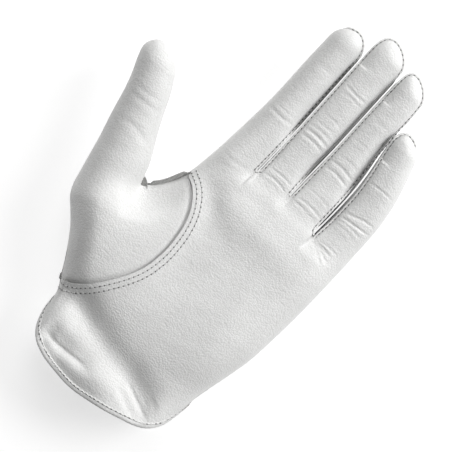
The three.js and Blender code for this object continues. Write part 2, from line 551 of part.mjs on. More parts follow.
// ---------- the closure ----------
// A flat piece with rounded corners at its free end, from one x to another.
function flatPiece(from, to, low, high, corner, bottom, thickness) {
  const shape = new THREE.Shape();
  shape.moveTo(from, low);
  shape.lineTo(to - corner, low);
  shape.quadraticCurveTo(to, low, to, low + corner);
  shape.lineTo(to, high - corner);
  shape.quadraticCurveTo(to, high, to - corner, high);
  shape.lineTo(from, high);
  const settings = { depth: thickness, bevelEnabled: false, curveSegments: 6 };
  const geometry = new THREE.ExtrudeGeometry(shape, settings);
  geometry.translate(0, 0, bottom);
  geometry.deleteAttribute('normal');
  geometry.deleteAttribute('uv');
  return mergeVertices(geometry);
}
const EDGE = 1.6;               // how far the pads stay inside the tab's edge
const SQUARE = 0.5;             // corner size of a piece with square corners
const HOOKS_FROM = 3;           // where the lining ends and the hook pad starts
const LOOPS_FROM = 5;
const ANCHOR = { from: -33, gap: 0.7, inset: 1 };
const closureLayer = (from, to, corner, bottom) =>
  flatPiece(from, to, TAB.low + EDGE, TAB.high - EDGE, corner, bottom, TAB.thickness);
add('closure_tab', flatPiece(TAB.root, TAB.tip, TAB.low, TAB.high, TAB.corner, 0, TAB.thickness), white);
add('tab_lining', closureLayer(TAB.root + EDGE, HOOKS_FROM, SQUARE, LAYER), sideLeather);
add('hook_pad', closureLayer(HOOKS_FROM + GAP, TAB.tip - EDGE, TAB.corner - EDGE, LAYER), hook);
add('loop_pad', closureLayer(LOOPS_FROM, TAB.tip - EDGE, TAB.corner - EDGE, 2 * LAYER), hook);
const anchorRows = [TAB.low + ANCHOR.inset, TAB.high - ANCHOR.inset];
const anchor = flatPiece(ANCHOR.from, TAB.root - ANCHOR.gap, ...anchorRows, SQUARE, 2 * LAYER, TAB.thickness);
add('tab_anchor', anchor, white);

glove.position.set(-DRAWN_CENTRE[0], -DRAWN_CENTRE[1], 0);
export default glove;
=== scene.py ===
"""The looks of a white leather golf glove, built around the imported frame. Lengths are millimetres in a drawing of
the hand: +Y to the fingertips, thumb at -X, +Z out of the palm. place() turns them into the frame's metres."""
import math
import bpy
import numpy as np
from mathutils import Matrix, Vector


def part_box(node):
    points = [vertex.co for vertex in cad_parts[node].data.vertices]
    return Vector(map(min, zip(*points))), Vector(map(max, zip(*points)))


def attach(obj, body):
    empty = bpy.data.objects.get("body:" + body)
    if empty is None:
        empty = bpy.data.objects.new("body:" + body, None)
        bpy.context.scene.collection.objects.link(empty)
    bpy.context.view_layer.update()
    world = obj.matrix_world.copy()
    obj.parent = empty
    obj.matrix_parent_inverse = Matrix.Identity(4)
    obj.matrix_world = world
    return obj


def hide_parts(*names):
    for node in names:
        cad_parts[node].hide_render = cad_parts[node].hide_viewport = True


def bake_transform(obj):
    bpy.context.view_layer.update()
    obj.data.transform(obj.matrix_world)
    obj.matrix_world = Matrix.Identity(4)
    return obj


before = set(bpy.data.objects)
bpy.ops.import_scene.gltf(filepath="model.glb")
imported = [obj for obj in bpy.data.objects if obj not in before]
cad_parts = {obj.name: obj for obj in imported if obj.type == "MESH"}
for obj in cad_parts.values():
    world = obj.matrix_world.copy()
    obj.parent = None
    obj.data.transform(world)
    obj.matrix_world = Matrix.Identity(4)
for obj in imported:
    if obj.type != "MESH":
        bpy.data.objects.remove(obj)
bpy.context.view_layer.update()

# ---------- driving values ----------
DRAWN_CENTRE = np.array([-20.5, 6.2, 0.0])   # the frame's origin, in drawing coordinates
MM = 0.001
LEATHER = 0.7            # thickness of the leather
STEP = 0.52              # length of a mesh cell along the glove
RINGS = 14               # cells from a finger's middle to its edge
EDGE_RADIUS = 15.0       # how far in from the outline the palm reaches its full height
SEAM_INSET = 1.0         # the seams of a finger lie this far inside its outline
FRONT_SEAM = 0.86        # height of the palm-side seam at a finger's base, as a share of its height in front
LEFT_SEAM = 0.74         # and along its left side, where the seam stays on top
RIGHT_SEAM = 0.2         # and along its right side, where the leather rolls over it
TIP_SEAM = 0.28          # and round its tip
BACK_SEAM = 0.5          # depth of the back seam, as a share of its depth behind
BACK_WIDTH = 0.87        # half width at the back seam, as a share
STITCH_PITCH = 2.4
TAB_LEVEL = 3.0          # height of the back panel over the closure tab
HEM_DROP = 2.4           # how far the back of the cuff reaches past the front


def place(points):
    """Drawing millimetres to the frame's metres."""
    return (np.asarray(points, float) - DRAWN_CENTRE) * MM


# ---------- the drawing ----------
CURVE_STEPS = 24         # steps between two given points, before a curve is spaced evenly
OUTLINE_POINTS = 400     # points of a line that is measured along


def smooth(t):
    t = np.clip(t, 0.0, 1.0)
    return t * t * (3 - 2 * t)


def stations(rows):
    """A smooth function of y through rows (y, a, b, ...); it returns an array (a, b, ...) for each y."""
    table = np.array(rows, float)
    knots, values = table[:, 0], table[:, 1:]
    slopes = np.gradient(values, knots, axis=0)

    def at(y):
        y = np.atleast_1d(np.asarray(y, float))
        i = np.clip(np.searchsorted(knots, y, side="right") - 1, 0, len(knots) - 2)
        h = knots[i + 1] - knots[i]
        t = np.clip((y - knots[i]) / h, 0, 1)[:, None]
        h = h[:, None]
        inside = ((2 * t**3 - 3 * t**2 + 1) * values[i] + (t**3 - 2 * t**2 + t) * h * slopes[i]
                  + (3 * t**2 - 2 * t**3) * values[i + 1] + (t**3 - t**2) * h * slopes[i + 1])
        below = np.minimum(y - knots[0], 0)[:, None] * slopes[0]
        above = np.maximum(y - knots[-1], 0)[:, None] * slopes[-1]
        return inside + below + above
    return at


def run_of(points):
    """Length along a polyline up to each of its points."""
    return np.concatenate([[0], np.cumsum(np.linalg.norm(np.diff(points, axis=0), axis=1))])


def even(points, shares):
    """The points of a polyline at the given shares of its length."""
    run = run_of(points)
    at = np.asarray(shares, float) * run[-1]
    return np.stack([np.interp(at, run, points[:, c]) for c in range(points.shape[1])], axis=1)


def curve(points, count):
    """count points, evenly spaced along a smooth curve through the given ones."""
    p = np.array(points, float)
    q = np.vstack([2 * p[0] - p[1], p, 2 * p[-1] - p[-2]])
    t = np.linspace(0, 1, CURVE_STEPS, endpoint=False)[:, None]
    dense = []
    for a, b, c, d in zip(q, q[1:], q[2:], q[3:]):
        bend = (2 * a - 5 * b + 4 * c - d) * t**2 + (3 * b - a - 3 * c + d) * t**3
        dense.append(0.5 * (2 * b + (c - a) * t + bend))
    return even(np.vstack(dense + [p[-1:]]), np.linspace(0, 1, count))


def right_of(line):
    """Level directions to the right of the way along a line in plan."""
    along = np.gradient(line, axis=0)
    return np.stack([along[:, 1], -along[:, 0]], axis=1) / np.linalg.norm(along, axis=1)[:, None]


# edges: (y, left edge, right edge). heights: (y, middle height, height in front, depth behind).
# folds: whether the left and the right edge are folded leather, with no seam.
# rolls: where the right seam begins to roll under. cut, split, bend and tip: where the finger leaves the palm, where
# its two pieces meet, its middle joint and its end. cap: length of the round end. lean: how far it leans to the right.
FINGERS = {
    "index": {
        "edges": [(-10, -37, -13.2), (12, -34.3, -12.6), (30, -32.2, -11.7), (45, -30.8, -11.1),
                  (58, -29.8, -10.8), (90, -29.4, -10.8), (112, -28.9, -10.8)],
        "heights": [(10, 14.5, 11, 13.5), (30, 14, 10, 10.5), (57, 15.5, 9, 9.2), (88, 18, 8.8, 8.6),
                    (112, 21, 8.4, 8.2)],
        "folds": (True, False), "rolls": 44, "cut": 28.6,
        "split": 44, "bend": 57, "tip": 112, "cap": 10.5, "lean": 0.4,
    },
    "middle": {
        "edges": [(-10, -13.2, 6.6), (12, -11.6, 7.8), (33, -10.1, 7.9), (48, -10, 8.2), (60, -9.9, 8.8),
                  (70, -9.9, 9), (108, -10, 9), (112, -10, 9)],
        "heights": [(10, 14.5, 11, 13.5), (30, 14, 10, 10.5), (60, 15.2, 9.2, 9.4), (90, 17.6, 8.9, 8.8),
                    (120, 21, 8.4, 8.2)],
        "folds": (False, False), "rolls": 31.2, "cut": 31.2,
        "split": 47, "bend": 60.3, "tip": 120.6, "cap": 11, "lean": -2.6,
    },
    "ring": {
        "edges": [(-10, 6.6, 27.4), (12, 8.4, 28), (33, 9.1, 28.1), (50, 9.6, 28.4), (62, 9.8, 28.2),
                  (72, 9.8, 27.2), (81, 9.8, 26.4), (88, 9.9, 26.6), (96, 10, 27), (106, 10.2, 26.6)],
        "heights": [(10, 14.5, 11, 13.5), (30, 14, 10, 10.5), (55, 15.2, 9.1, 9.2), (86, 18, 8.7, 8.6),
                    (115, 21.5, 8.2, 8)],
        "folds": (False, False), "rolls": 40, "cut": 31.2,
        "split": 44.5, "bend": 55.5, "tip": 115, "cap": 11, "lean": -3.2,
    },
    "little": {
        "edges": [(-10, 27.4, 50), (12, 28.9, 50.7), (26, 30, 50.9), (35, 30.9, 50.9), (45, 31.3, 50.8),
                  (55, 31.1, 49.9), (65, 29.9, 48), (75, 28.1, 45.2), (83, 26.9, 42.6)],
        "heights": [(10, 14.5, 11, 13.5), (26, 14, 10, 10.5), (43, 15.4, 8.9, 9), (62, 18, 8.4, 8.2),
                    (91, 23, 7.6, 7.4)],
        "folds": (False, True), "rolls": 24.6, "cut": 24.6,
        "split": 35, "bend": 42.5, "tip": 91.4, "cap": 9, "lean": -1.0,
    },
}
NAMES = list(FINGERS)
for finger in FINGERS.values():
    finger["edges"] = stations(finger["edges"])
    finger["heights"] = stations(finger["heights"])
CROTCHES = [(-11.3, 28.4), (8.2, 31.0), (28.8, 24.4)]

# Outline of the hand's body on the thumb's side, from below the cuff to the index finger, and on the other
# side.
THUMB_SIDE = [(-41, -116), (-42.6, -98), (-43.6, -86), (-43.9, -79), (-45, -75), (-47.4, -70.8),
              (-53.5, -60.3), (-60.2, -50.2), (-66, -43.6), (-70.6, -38.6), (-73.2, -33), (-74.8, -26),
              (-76.8, -15), (-78.7, -6), (-80.9, 0), (-83.2, 8), (-84.8, 16), (-87.2, 24), (-90, 31),
              (-92, 39.5), (-88.5, 45), (-84, 46.2), (-76.4, 43.2), (-70.2, 36), (-65.6, 27), (-61.4, 17),
              (-58, 9), (-54.6, 2), (-51.4, -4.6), (-49, -10), (-46, -10), (-42.4, -6.6), (-39.6, -2.4),
              (-36.4, 4.2), (-34.8, 11), (-33.6, 20), (-32.2, 30), (-30.8, 45), (-29.8, 58)]
LITTLE_SIDE = [(50.6, 58), (50.9, 35), (50.9, 22), (50.6, 8), (49.9, -10), (48.8, -25), (47.2, -40),
               (44.6, -52), (42, -62), (39.9, -71), (39.1, -80), (38.6, -92), (37, -116)]
THUMB_SEAM = [(-47.4, -71.2), (-44, -70.7), (-41, -69.3), (-36.6, -65.8), (-32.6, -61.4), (-28.4, -55.6),
              (-24, -48.6), (-20.4, -40.6), (-18.6, -32), (-18.3, -24), (-19.2, -15), (-21.6, -7),
              (-25.4, -0.6), (-29.6, 3.6), (-35.4, 6.6)]
BACK_THUMB_SEAM = [(-47.4, -71.2), (-50.5, -62), (-55, -50), (-58.6, -38), (-59.4, -27), (-56.4, -18),
                   (-50.4, -12.6), (-46.4, -9.4), (-43.4, -6.8), (-40.4, -2.4), (-37.6, 2.8), (-35.4, 6.6)]
HEM = [(-43.8, -79.5), (-42.7, -89), (-38.6, -97.6), (-29.5, -103), (-17, -105.7), (-6, -106.2),
       (8, -103.8), (20, -100.8), (29.5, -97.6), (35.6, -91.8), (38.2, -84), (39.4, -76.5)]
HEM_SHARES = [0, 0.3, 0.5, 0.7, 1]
SLIT_END = 0.4
SLIT_HALF = 0.03

# Points down the thumb's two sides, in pairs across it, and round its tip.
THUMB_PAIRS = [((-77.5, -14), (-50.2, -7.5)), ((-78.8, -8), (-51.4, -3.2)), ((-81, 0), (-54, 2.4)),
               ((-83, 8), (-58.5, 11)), ((-84.8, 16), (-62.4, 19.5)), ((-87.2, 24), (-66.4, 29)),
               ((-90.2, 31.5), (-70.6, 37))]
THUMB_CAP = [(-90.2, 31.5), (-91.9, 37), (-91.5, 41), (-88.6, 44.9), (-84, 46.3), (-79.6, 45.4),
             (-74.6, 41.8), (-70.6, 37)]
THUMB_HEIGHTS = stations([(-30, 19, 14, 14.5), (-6, 20, 12.2, 12.2), (10, 21.5, 10.8, 10.8),
                          (46, 25, 9.6, 9.6)])
THUMB_REACH = 24.0       # how far from the thumb's base its round shows in the leather below it

# Heights of the body: (y, middle height, height of the palm above it, depth of the back below it).
BODY = stations([(-112, 19.4, 13.5, 19), (-104, 19.2, 13.4, 17.6), (-96, 18.8, 13, 16.4),
                 (-84, 18, 12.4, 15.4), (-72, 17.4, 12.8, 14.8), (-56, 16.8, 14, 14.2),
                 (-38, 16.2, 13.6, 14.8), (-12, 15.4, 12.6, 16), (8, 14.8, 12.4, 15.6), (22, 14.3, 11, 13),
                 (32, 14, 10, 10.5)])
# Soft mounds and hollows of the palm: (x, y, half width, half length, height).
MOUNDS = [(-50, -34, 17, 26, 7), (27, -42, 15, 30, 1.6), (-2, -22, 16, 26, -1), (14, 10, 26, 10, 0.8),
          (-24, 8, 10, 14, -1.5)]
WEB_HOLLOW = (-42, -3, 11, 0.3)


FLAT_EDGE = 0.2          # the palm starts to rise this far in from the outline
BALL_FROM, BALL_SLOPE = -38, 0.09   # towards the thumb from here the middle of the hand rises by this slope
TAB_SPAN = (-108, -40)   # the back stays above the tab's level between these
TAB_RAMPS = (8, 12)      # and eases down over these lengths at the two ends
BACK_CLEAR, BACK_SOFT = 0.05, 1.2   # the back's height over its floor, and how gently it comes down to it


def near_line(x, y, line):
    """Distance of each point from a polyline, and the share along it of the nearest point."""
    best = np.full(x.shape, np.inf)
    share = np.zeros(x.shape)
    run = run_of(line)
    for i, (a, b) in enumerate(zip(line[:-1], line[1:])):
        d = b - a
        size = max(float(d @ d), 1e-12)
        t = np.clip(((x - a[0]) * d[0] + (y - a[1]) * d[1]) / size, 0, 1)
        gap = np.hypot(x - a[0] - t * d[0], y - a[1] - t * d[1])
        closer = gap < best
        best = np.where(closer, gap, best)
        share = np.where(closer, (run[i] + t * (run[i + 1] - run[i])) / run[-1], share)
    return best, share


OUTLINES = [curve(THUMB_SIDE, 240), curve(LITTLE_SIDE, 140)]
SEAM_LINE = curve(THUMB_SEAM, 160)
BACK_SEAM_LINE = curve(BACK_THUMB_SEAM, 160)


def outline_distance(x, y):
    return np.minimum(*[near_line(x, y, line)[0] for line in OUTLINES])


def rise(d):
    """Quarter-round rise of the leather from its edge."""
    return np.sqrt(np.clip(1 - (1 - np.clip((d - FLAT_EDGE) / EDGE_RADIUS, 0, 1)) ** 2, 0, 1))


def middle_height(x, y):
    return BODY(y)[:, 0] + BALL_SLOPE * np.maximum(BALL_FROM - x, 0)


def fold_height(x, y):
    """Height of the edge where front and back meet. Near the thumb it is the thumb's own middle height."""
    away, _ = near_line(x, y, np.array(THUMB_PAIRS[0], float))
    share = 1 - smooth(away / THUMB_REACH)
    return middle_height(x, y) * (1 - share) + THUMB_HEIGHTS(y)[:, 0] * share


def web_share(x, y):
    wx, wy, radius, share = WEB_HOLLOW
    return 1 - share * np.exp(-((x - wx) ** 2 + (y - wy) ** 2) / (2 * radius**2))


def palm_height(x, y, d):
    bumps = sum(h * np.exp(-(((x - mx) / rx) ** 2) - ((y - my) / ry) ** 2) for mx, my, rx, ry, h in MOUNDS)
    return middle_height(x, y) + (BODY(y)[:, 1] + bumps) * web_share(x, y) * rise(d)


def floor_of(y):
    """Lowest height that the back may have: the tab's level under the wrist, and the ground elsewhere."""
    rear, front = smooth((y - TAB_SPAN[0]) / TAB_RAMPS[0]), smooth((TAB_SPAN[1] - y) / TAB_RAMPS[1])
    return TAB_LEVEL * (front * rear)


def soft_max(a, b, width):
    """The larger of two heights, with a rounded change between them."""
    h = np.clip(0.5 + 0.5 * (a - b) / width, 0, 1)
    return b * (1 - h) + a * h + width * h * (1 - h) * 0.5


def back_height(x, y, d):
    deep = middle_height(x, y) - BODY(y)[:, 2] * web_share(x, y) * rise(d)
    return soft_max(deep, floor_of(y) + BACK_CLEAR, BACK_SOFT)


def body_height(x, y, d, front):
    return palm_height(x, y, d) if front else back_height(x, y, d)


def near_seam(x, y, d, front, reach):
    """1 on the thumb's seam, less away from it, and nothing at the outline."""
    gap, _ = near_line(x, y, SEAM_LINE if front else BACK_SEAM_LINE)
    return np.exp(-((gap / reach) ** 2)) * smooth(d / 1.5)


def middle_of(finger, y):
    """Middle x, half width, middle height, height in front and depth behind, at each y."""
    left, right = finger["edges"](y).T
    middle, front, back = finger["heights"](y).T
    return (left + right) / 2, (right - left) / 2, middle, front, back


def lift_of(w, fold, share):
    """Rise at a share w of the way from a finger's middle to its edge. A folded edge comes down to nothing, and a
    sewn one to the given share."""
    round_side = np.sqrt(np.clip(1 - w**2, 0, 1))
    sewn_side = np.clip(1 - w**2.3, 0, 1) ** 0.62
    return fold * round_side + (1 - fold) * (share + (1 - share) * sewn_side)


def finger_height(finger, x, y, front):
    """Height of a finger's palm side or back near its root, and the share of the way to its edge."""
    mx, a, middle, up, down = middle_of(finger, y)
    fold = np.where(x < mx, *finger["folds"]).astype(float)
    sewn = a - SEAM_INSET if front else a * BACK_WIDTH
    w = np.clip(np.abs(x - mx) / np.where(fold > 0, a, sewn), 0, 1)
    lift = lift_of(w, fold, FRONT_SEAM if front else BACK_SEAM)
    return (middle + up * lift if front else middle - down * lift), w


# ---------- folds of the leather ----------
# (points of the line, half width, depth). The leather swells a little on both sides of each.
SOFT_FOLD = 2.0          # folds wider than this have a round bottom
FOLD_ENDS = 0.18         # share of a fold's length over which it fades at each end
CREASES = [
    ([(-29.4, 57.4), (-20, 56.4), (-11.6, 57.6)], 0.9, 0.3), ([(-32.6, 27), (-24, 25.6), (-13.8, 27)], 0.9, 0.2),
    ([(-26, 88), (-20, 87.4), (-13, 88.4)], 1.5, 0.12),
    ([(-9.2, 60.4), (-2, 61.2), (8, 60.2)], 0.75, 0.42), ([(-9, 57.2), (0, 57.9), (7.8, 56.6)], 0.75, 0.36),
    ([(-8.8, 89), (0, 88), (8, 88.4)], 0.6, 0.3), ([(-9.4, 35), (-1, 35.8), (7, 35.2)], 0.6, 0.34),
    ([(-10, 31), (-2, 32.2), (7.2, 30.8)], 0.6, 0.36),
    ([(10.6, 57), (18, 57.8), (27, 56.2)], 0.75, 0.4), ([(10.8, 53), (18, 53.8), (27.2, 52.2)], 0.75, 0.36),
    ([(13, 86), (18, 85.2), (24, 86)], 1.2, 0.12), ([(10, 33.2), (18, 34), (27, 33.2)], 0.6, 0.34),
    ([(10.4, 31), (18, 30.8), (27, 29)], 0.6, 0.34),
    ([(30, 61), (38, 62.2), (47.4, 62.4)], 0.6, 0.3), ([(32, 43), (37, 44.2), (43, 46), (50, 47)], 0.6, 0.45),
    ([(32.4, 40.4), (40, 41.2), (50.4, 42.6)], 0.6, 0.5),
    ([(30, 24), (36, 23.4), (42.4, 22)], 0.7, 0.45), ([(30.4, 23.2), (37, 21.6), (43.4, 18.6)], 0.7, 0.5),
    ([(30.2, 22.6), (36, 20), (41, 16)], 0.7, 0.4),
    ([(-9, 22), (2, 16), (16, 13), (30, 12), (44, 6)], 4.5, 0.2),
    ([(-24, 14), (-19, 6), (-14, -4), (-6, -14)], 5.5, 0.35),
    # wrist
    ([(10, -86.4), (21, -91), (29, -94.2)], 0.9, 0.6), ([(-34, -94.4), (-26, -95.6), (-10, -94.4)], 1.1, 0.6),
    ([(24, -84.6), (28, -87), (30, -90.4)], 1.1, 0.3), ([(8, -91), (16, -94.4), (24, -97.4)], 1.4, 0.5),
    # faint lines between the joints
    ([(-8, 71.4), (0, 72), (7, 71.4)], 0.7, 0.14), ([(-8, 66.6), (0, 67.2), (7, 66.8)], 0.7, 0.14),
    ([(-8, 63.4), (0, 64.2), (7, 63.4)], 0.7, 0.16), ([(-7, 85), (0, 85.4), (7, 84.4)], 0.6, 0.16),
    ([(12, 72), (18, 72.6), (25, 72)], 0.7, 0.12), ([(12, 61.6), (18, 62.2), (26, 61.4)], 0.7, 0.14),
    ([(12, 40), (18, 40.4), (26, 39.6)], 0.6, 0.14), ([(32, 38.4), (38, 39.2), (48, 38.6)], 0.6, 0.2),
    ([(31, 36), (38, 36.8), (46, 36)], 0.7, 0.14), ([(-27, 60.6), (-20, 60), (-13, 60.6)], 0.6, 0.12),
    ([(31, 24.6), (38, 25.4), (45, 25)], 0.6, 0.25),
]
# Fingers' backs and the back of the hand: soft folds where the joints are.
BACK_CREASES = [
    ([(-29, 57), (-12, 57)], 1.6, 0.5), ([(-29, 60), (-12, 60.4)], 1.3, 0.4), ([(-9, 60), (8, 60)], 1.6, 0.5),
    ([(-9, 63), (8, 63.4)], 1.3, 0.4), ([(10, 56), (27, 56)], 1.6, 0.5), ([(31, 43), (50, 43.4)], 1.6, 0.5),
    ([(-34, 14), (-20, 10), (-4, 12), (14, 10), (34, 8), (50, 4)], 5.0, 0.8),
]

# Soft folds across the wrist: points (x, y, depth) along each, its reach towards the hand and towards the cuff.
FOLDS = [([(-46, -72, 0), (-38, -73.4, 3.4), (-30, -75.4, 5.2), (-14, -79.8, 3.6), (-1, -82.8, 3.2),
           (11, -85.4, 4.2), (22, -89.6, 3.4), (33, -95, 0)], 8.6, 7.4),
         ([(-38, -93, 0), (-31, -94.2, 2.2), (-24, -94.8, 3.0), (-15, -94.2, 2.2), (-3, -94, 0)], 7.0, 3.2),
         ([(-38, -97, 0), (-31, -101.6, 2.8), (-19, -105.4, 3.8), (-4, -106.4, 3.4), (12, -104, 0)], 7.0, 2.2)]


# A soft hollow of the palm: x, y, turn in degrees, half length, half width, depth.
PALM_HOLLOW = (-16, 3, -32, 18, 6, 1.0)


def smooth_along(x, points):
    """Depth of a fold at x, which eases from one of its points to the next and is nothing past its ends."""
    px, _, deep = np.array(points, float).T
    i = np.clip(np.searchsorted(px, x) - 1, 0, len(px) - 2)
    share = smooth((x - px[i]) / (px[i + 1] - px[i]))
    return deep[i] * (1 - share) + deep[i + 1] * share


def hollow_depth(x, y):
    """How far the palm's hollow and the wrist's folds lower the leather."""
    hx, hy, turn, half_length, half_width, deep = PALM_HOLLOW
    c, s = math.cos(math.radians(turn)), math.sin(math.radians(turn))
    along, across = (x - hx) * c + (y - hy) * s, (y - hy) * c - (x - hx) * s
    depth = deep * np.exp(-((along / half_length) ** 2) - (across / half_width) ** 2)
    for points, to_hand, to_cuff in FOLDS:
        line = curve([q[:2] for q in points], 60)
        away = y - np.interp(x, line[:, 0], line[:, 1])
        depth += smooth_along(x, points) * np.exp(-((away / np.where(away > 0, to_hand, to_cuff)) ** 2))
    return depth


def crease_depth(x, y, creases):
    """How far the creases lower the leather at each point."""
    depth = np.zeros(x.shape)
    for points, width, deep in creases:
        line = curve(points, 16) if len(points) > 2 else np.array(points, float)
        low, high = line.min(0) - 5 * width, line.max(0) + 5 * width
        close = (x > low[0]) & (x < high[0]) & (y > low[1]) & (y < high[1])
        if not close.any():
            continue
        gap, share = near_line(x[close], y[close], line)
        t = gap / width
        fade = smooth(share / FOLD_ENDS) * smooth((1 - share) / FOLD_ENDS) * 0.85 + 0.15
        crisp = 0.45 if width < SOFT_FOLD else 0.0
        groove = np.exp(-t**2) * (1 - crisp) + np.exp(-t / 0.5) * crisp
        swelling = 0.2 * np.exp(-((t - 1.9) ** 2) / 1.1)
        depth[close] += deep * fade * (groove - swelling)
    return depth


def waves(x, y):
    """Slow unevenness of soft leather."""
    return (0.10 * np.sin(0.11 * x + 0.16 * y + 1.1) * np.sin(0.09 * y - 0.14 * x)
            + 0.04 * np.sin(0.42 * x - 0.25 * y + 2.0) * np.sin(0.33 * y + 0.2 * x + 0.7))


def unevenness(x, y, front):
    """How far the leather stands off its smooth shape, upwards."""
    if front:
        return waves(x, y) - crease_depth(x, y, CREASES) - hollow_depth(x, y)
    return crease_depth(x, y, BACK_CREASES) + 0.6 * waves(y, x)


# ---------- sheets ----------
SHEETS = []


class Sheet:
    """A piece of leather: points in the drawing, faces that face out, and where it goes."""

    def __init__(self, name, points, faces, **facts):
        self.name = name
        self.points = points
        self.faces = faces
        self.facts = facts
        SHEETS.append(self)


def grid_faces(rows, columns, flipped=False):
    """Quads of a grid of rows x columns points, facing the viewer when columns run right and rows run up."""
    index = np.arange(rows * columns).reshape(rows, columns)
    a, b, c, d = index[:-1, :-1], index[:-1, 1:], index[1:, 1:], index[1:, :-1]
    order = (a, d, c, b) if flipped else (a, b, c, d)
    return np.stack([q.ravel() for q in order], axis=1)


def merge(points, faces, reach=0.004):
    """Joins points that lie together and drops the faces that vanish."""
    keys = np.round(points / reach).astype(np.int64)
    _, first, index = np.unique(keys, axis=0, return_index=True, return_inverse=True)
    joined = index.ravel()[faces]
    good = [tuple(dict.fromkeys(f)) for f in joined.tolist()]
    return points[first], [f for f in good if len(f) > 2]


def grid_sheet(name, grid, flipped, **facts):
    """A sheet from a whole grid of points."""
    Sheet(name, *merge(grid.reshape(-1, 3), grid_faces(*grid.shape[:2], flipped)), **facts)


def part_sheet(name, grid, faces, **facts):
    """A sheet from some of a grid's cells."""
    points, quads = merge(grid.reshape(-1, 3), faces.reshape(-1, 4))
    used = sorted({i for q in quads for i in q})
    renumber = {old: new for new, old in enumerate(used)}
    Sheet(name, points[used], [tuple(renumber[i] for i in q) for q in quads], **facts)


def coons(bottom, top, left, right, shares):
    """Plan points between four borders: bottom and top are (columns, 2), left and right are (rows, 2)."""
    u = shares[None, :, None]
    v = np.linspace(0, 1, len(left))[:, None, None]
    ruled = bottom[None] * (1 - v) + top[None] * v + left[:, None] * (1 - u) + right[:, None] * u
    corners = (bottom[0] * (1 - u) + bottom[-1] * u) * (1 - v) + (top[0] * (1 - u) + top[-1] * u) * v
    return ruled - corners


# ---------- the palm and back panels ----------
BODY_ROWS = 190          # rows of cells from the hem to the crotches
STUB_ROWS = 4            # and from the crotches to a finger's cut
PANEL_ROWS = BODY_ROWS + STUB_ROWS + 1
STUB_SPREAD = 2.6        # a finger's border leaves the crotch over this length
HEM_SIDE_ROWS = 26       # rows up each side of the hem, from the panel's rounded corner
HEM_CORNERS = (0.17, 0.85)   # where those corners lie, as shares of the hem
CUFF_SIDE_ROWS = 12      # rows from the hem to the thumb's seam, where front and back share an edge
INDEX_SIDE_ROWS = 28     # and from the seam's other end to the index finger's cut
SLIT_ROWS = int(BODY_ROWS * SLIT_END)
SLIT_BORDER = 2          # the border that has the slit: the one between the middle and ring fingers' columns
ROUND_REACH = 10.0       # the fingers' rounds begin to show this far below their cuts
LAP = 0.9                # how far the palm panel stands above the thumb's leather at their seam
LAP_REACH = 7.0
BACK_FOLD_FROM = -13     # above this the back panel's thumb side meets the palm's, over the web


def ring_shares():
    """Shares of the way from a finger's middle to its edge, closer together near the edge."""
    t = np.linspace(0, 1, RINGS + 1)
    return 0.45 * t + 0.55 * np.sin(t * math.pi / 2)


def across_shares(middle):
    """The same, from a column's left edge to its right edge, with the finger's middle at the given share."""
    w = ring_shares()
    return np.concatenate([middle * (1 - w[::-1]), middle + (1 - middle) * w[1:]])


def low_edge(shares, front):
    """Points of the hem at shares of the way from the thumb side to the other. The back reaches further."""
    points = even(curve(HEM, OUTLINE_POINTS), shares)
    points[:, 1] -= 0 if front else HEM_DROP * np.sin(math.pi * np.asarray(shares))
    return points


def seam_x(finger, y, side, front):
    """Where a finger's left (-1) or right (1) seam or fold lies."""
    mx, a, *_ = middle_of(finger, y)
    if finger["folds"][side > 0]:
        return mx + side * a
    return mx + side * (a - SEAM_INSET if front else a * BACK_WIDTH)


def corner_at(finger, side, front):
    """Where the finger's side starts, at its cut."""
    return float(seam_x(finger, finger["cut"], side, front)[0]), finger["cut"]


def border(k, side, front):
    """Plan of column k's border on one side: from the hem to the crotch, then along the seam to the cut."""
    finger = FINGERS[NAMES[k]]
    at = k + (side > 0)
    crotch = np.array(CROTCHES[at - 1])
    start = low_edge([HEM_SHARES[at]], front)[0]
    low = start + (crotch - start) * np.linspace(0, 1, BODY_ROWS + 1)[:, None]
    if not front and at == SLIT_BORDER:
        open_at = low_edge([HEM_SHARES[at] - side * SLIT_HALF], front)[0]
        low[:SLIT_ROWS + 1] = open_at + (low[SLIT_ROWS] - open_at) * np.linspace(0, 1, SLIT_ROWS + 1)[:, None]
    y = np.linspace(crotch[1], finger["cut"], STUB_ROWS + 1)[1:]
    x = crotch[0] + (seam_x(finger, y, side, front) - crotch[0]) * smooth((y - crotch[1]) / STUB_SPREAD)
    return np.vstack([low, np.stack([x, y], axis=1)])


def thumb_border(front):
    """The first column's border: up the hem's end and the cuff's side, along the thumb's seam, to the index finger."""
    seam = THUMB_SEAM if front else BACK_THUMB_SEAM
    hem_side = low_edge(np.linspace(HEM_CORNERS[0], 0, HEM_SIDE_ROWS), front)
    cuff_side = curve([HEM[0], (-44.7, -76), seam[0]], CUFF_SIDE_ROWS)
    index_side = curve([seam[-1], (-35.2, 9), (-34.4, 13), (-33.4, 20), corner_at(FINGERS["index"], -1, front)],
                       INDEX_SIDE_ROWS)
    sewn = curve(seam, PANEL_ROWS - HEM_SIDE_ROWS - CUFF_SIDE_ROWS - INDEX_SIDE_ROWS + 3)
    return np.vstack([hem_side[:-1], cuff_side[:-1], sewn, index_side[1:]])


def little_border(front):
    """The last column's border: up the hem's other end and the side of the hand to the little finger."""
    finger = FINGERS["little"]
    hem_side = low_edge(np.linspace(HEM_CORNERS[1], 1, HEM_SIDE_ROWS), front)
    points = [q for q in LITTLE_SIDE[::-1] if -75 < q[1] < finger["cut"] - 1]
    side = curve([HEM[-1]] + points + [corner_at(finger, 1, front)], PANEL_ROWS - HEM_SIDE_ROWS + 1)
    return np.vstack([hem_side[:-1], side])


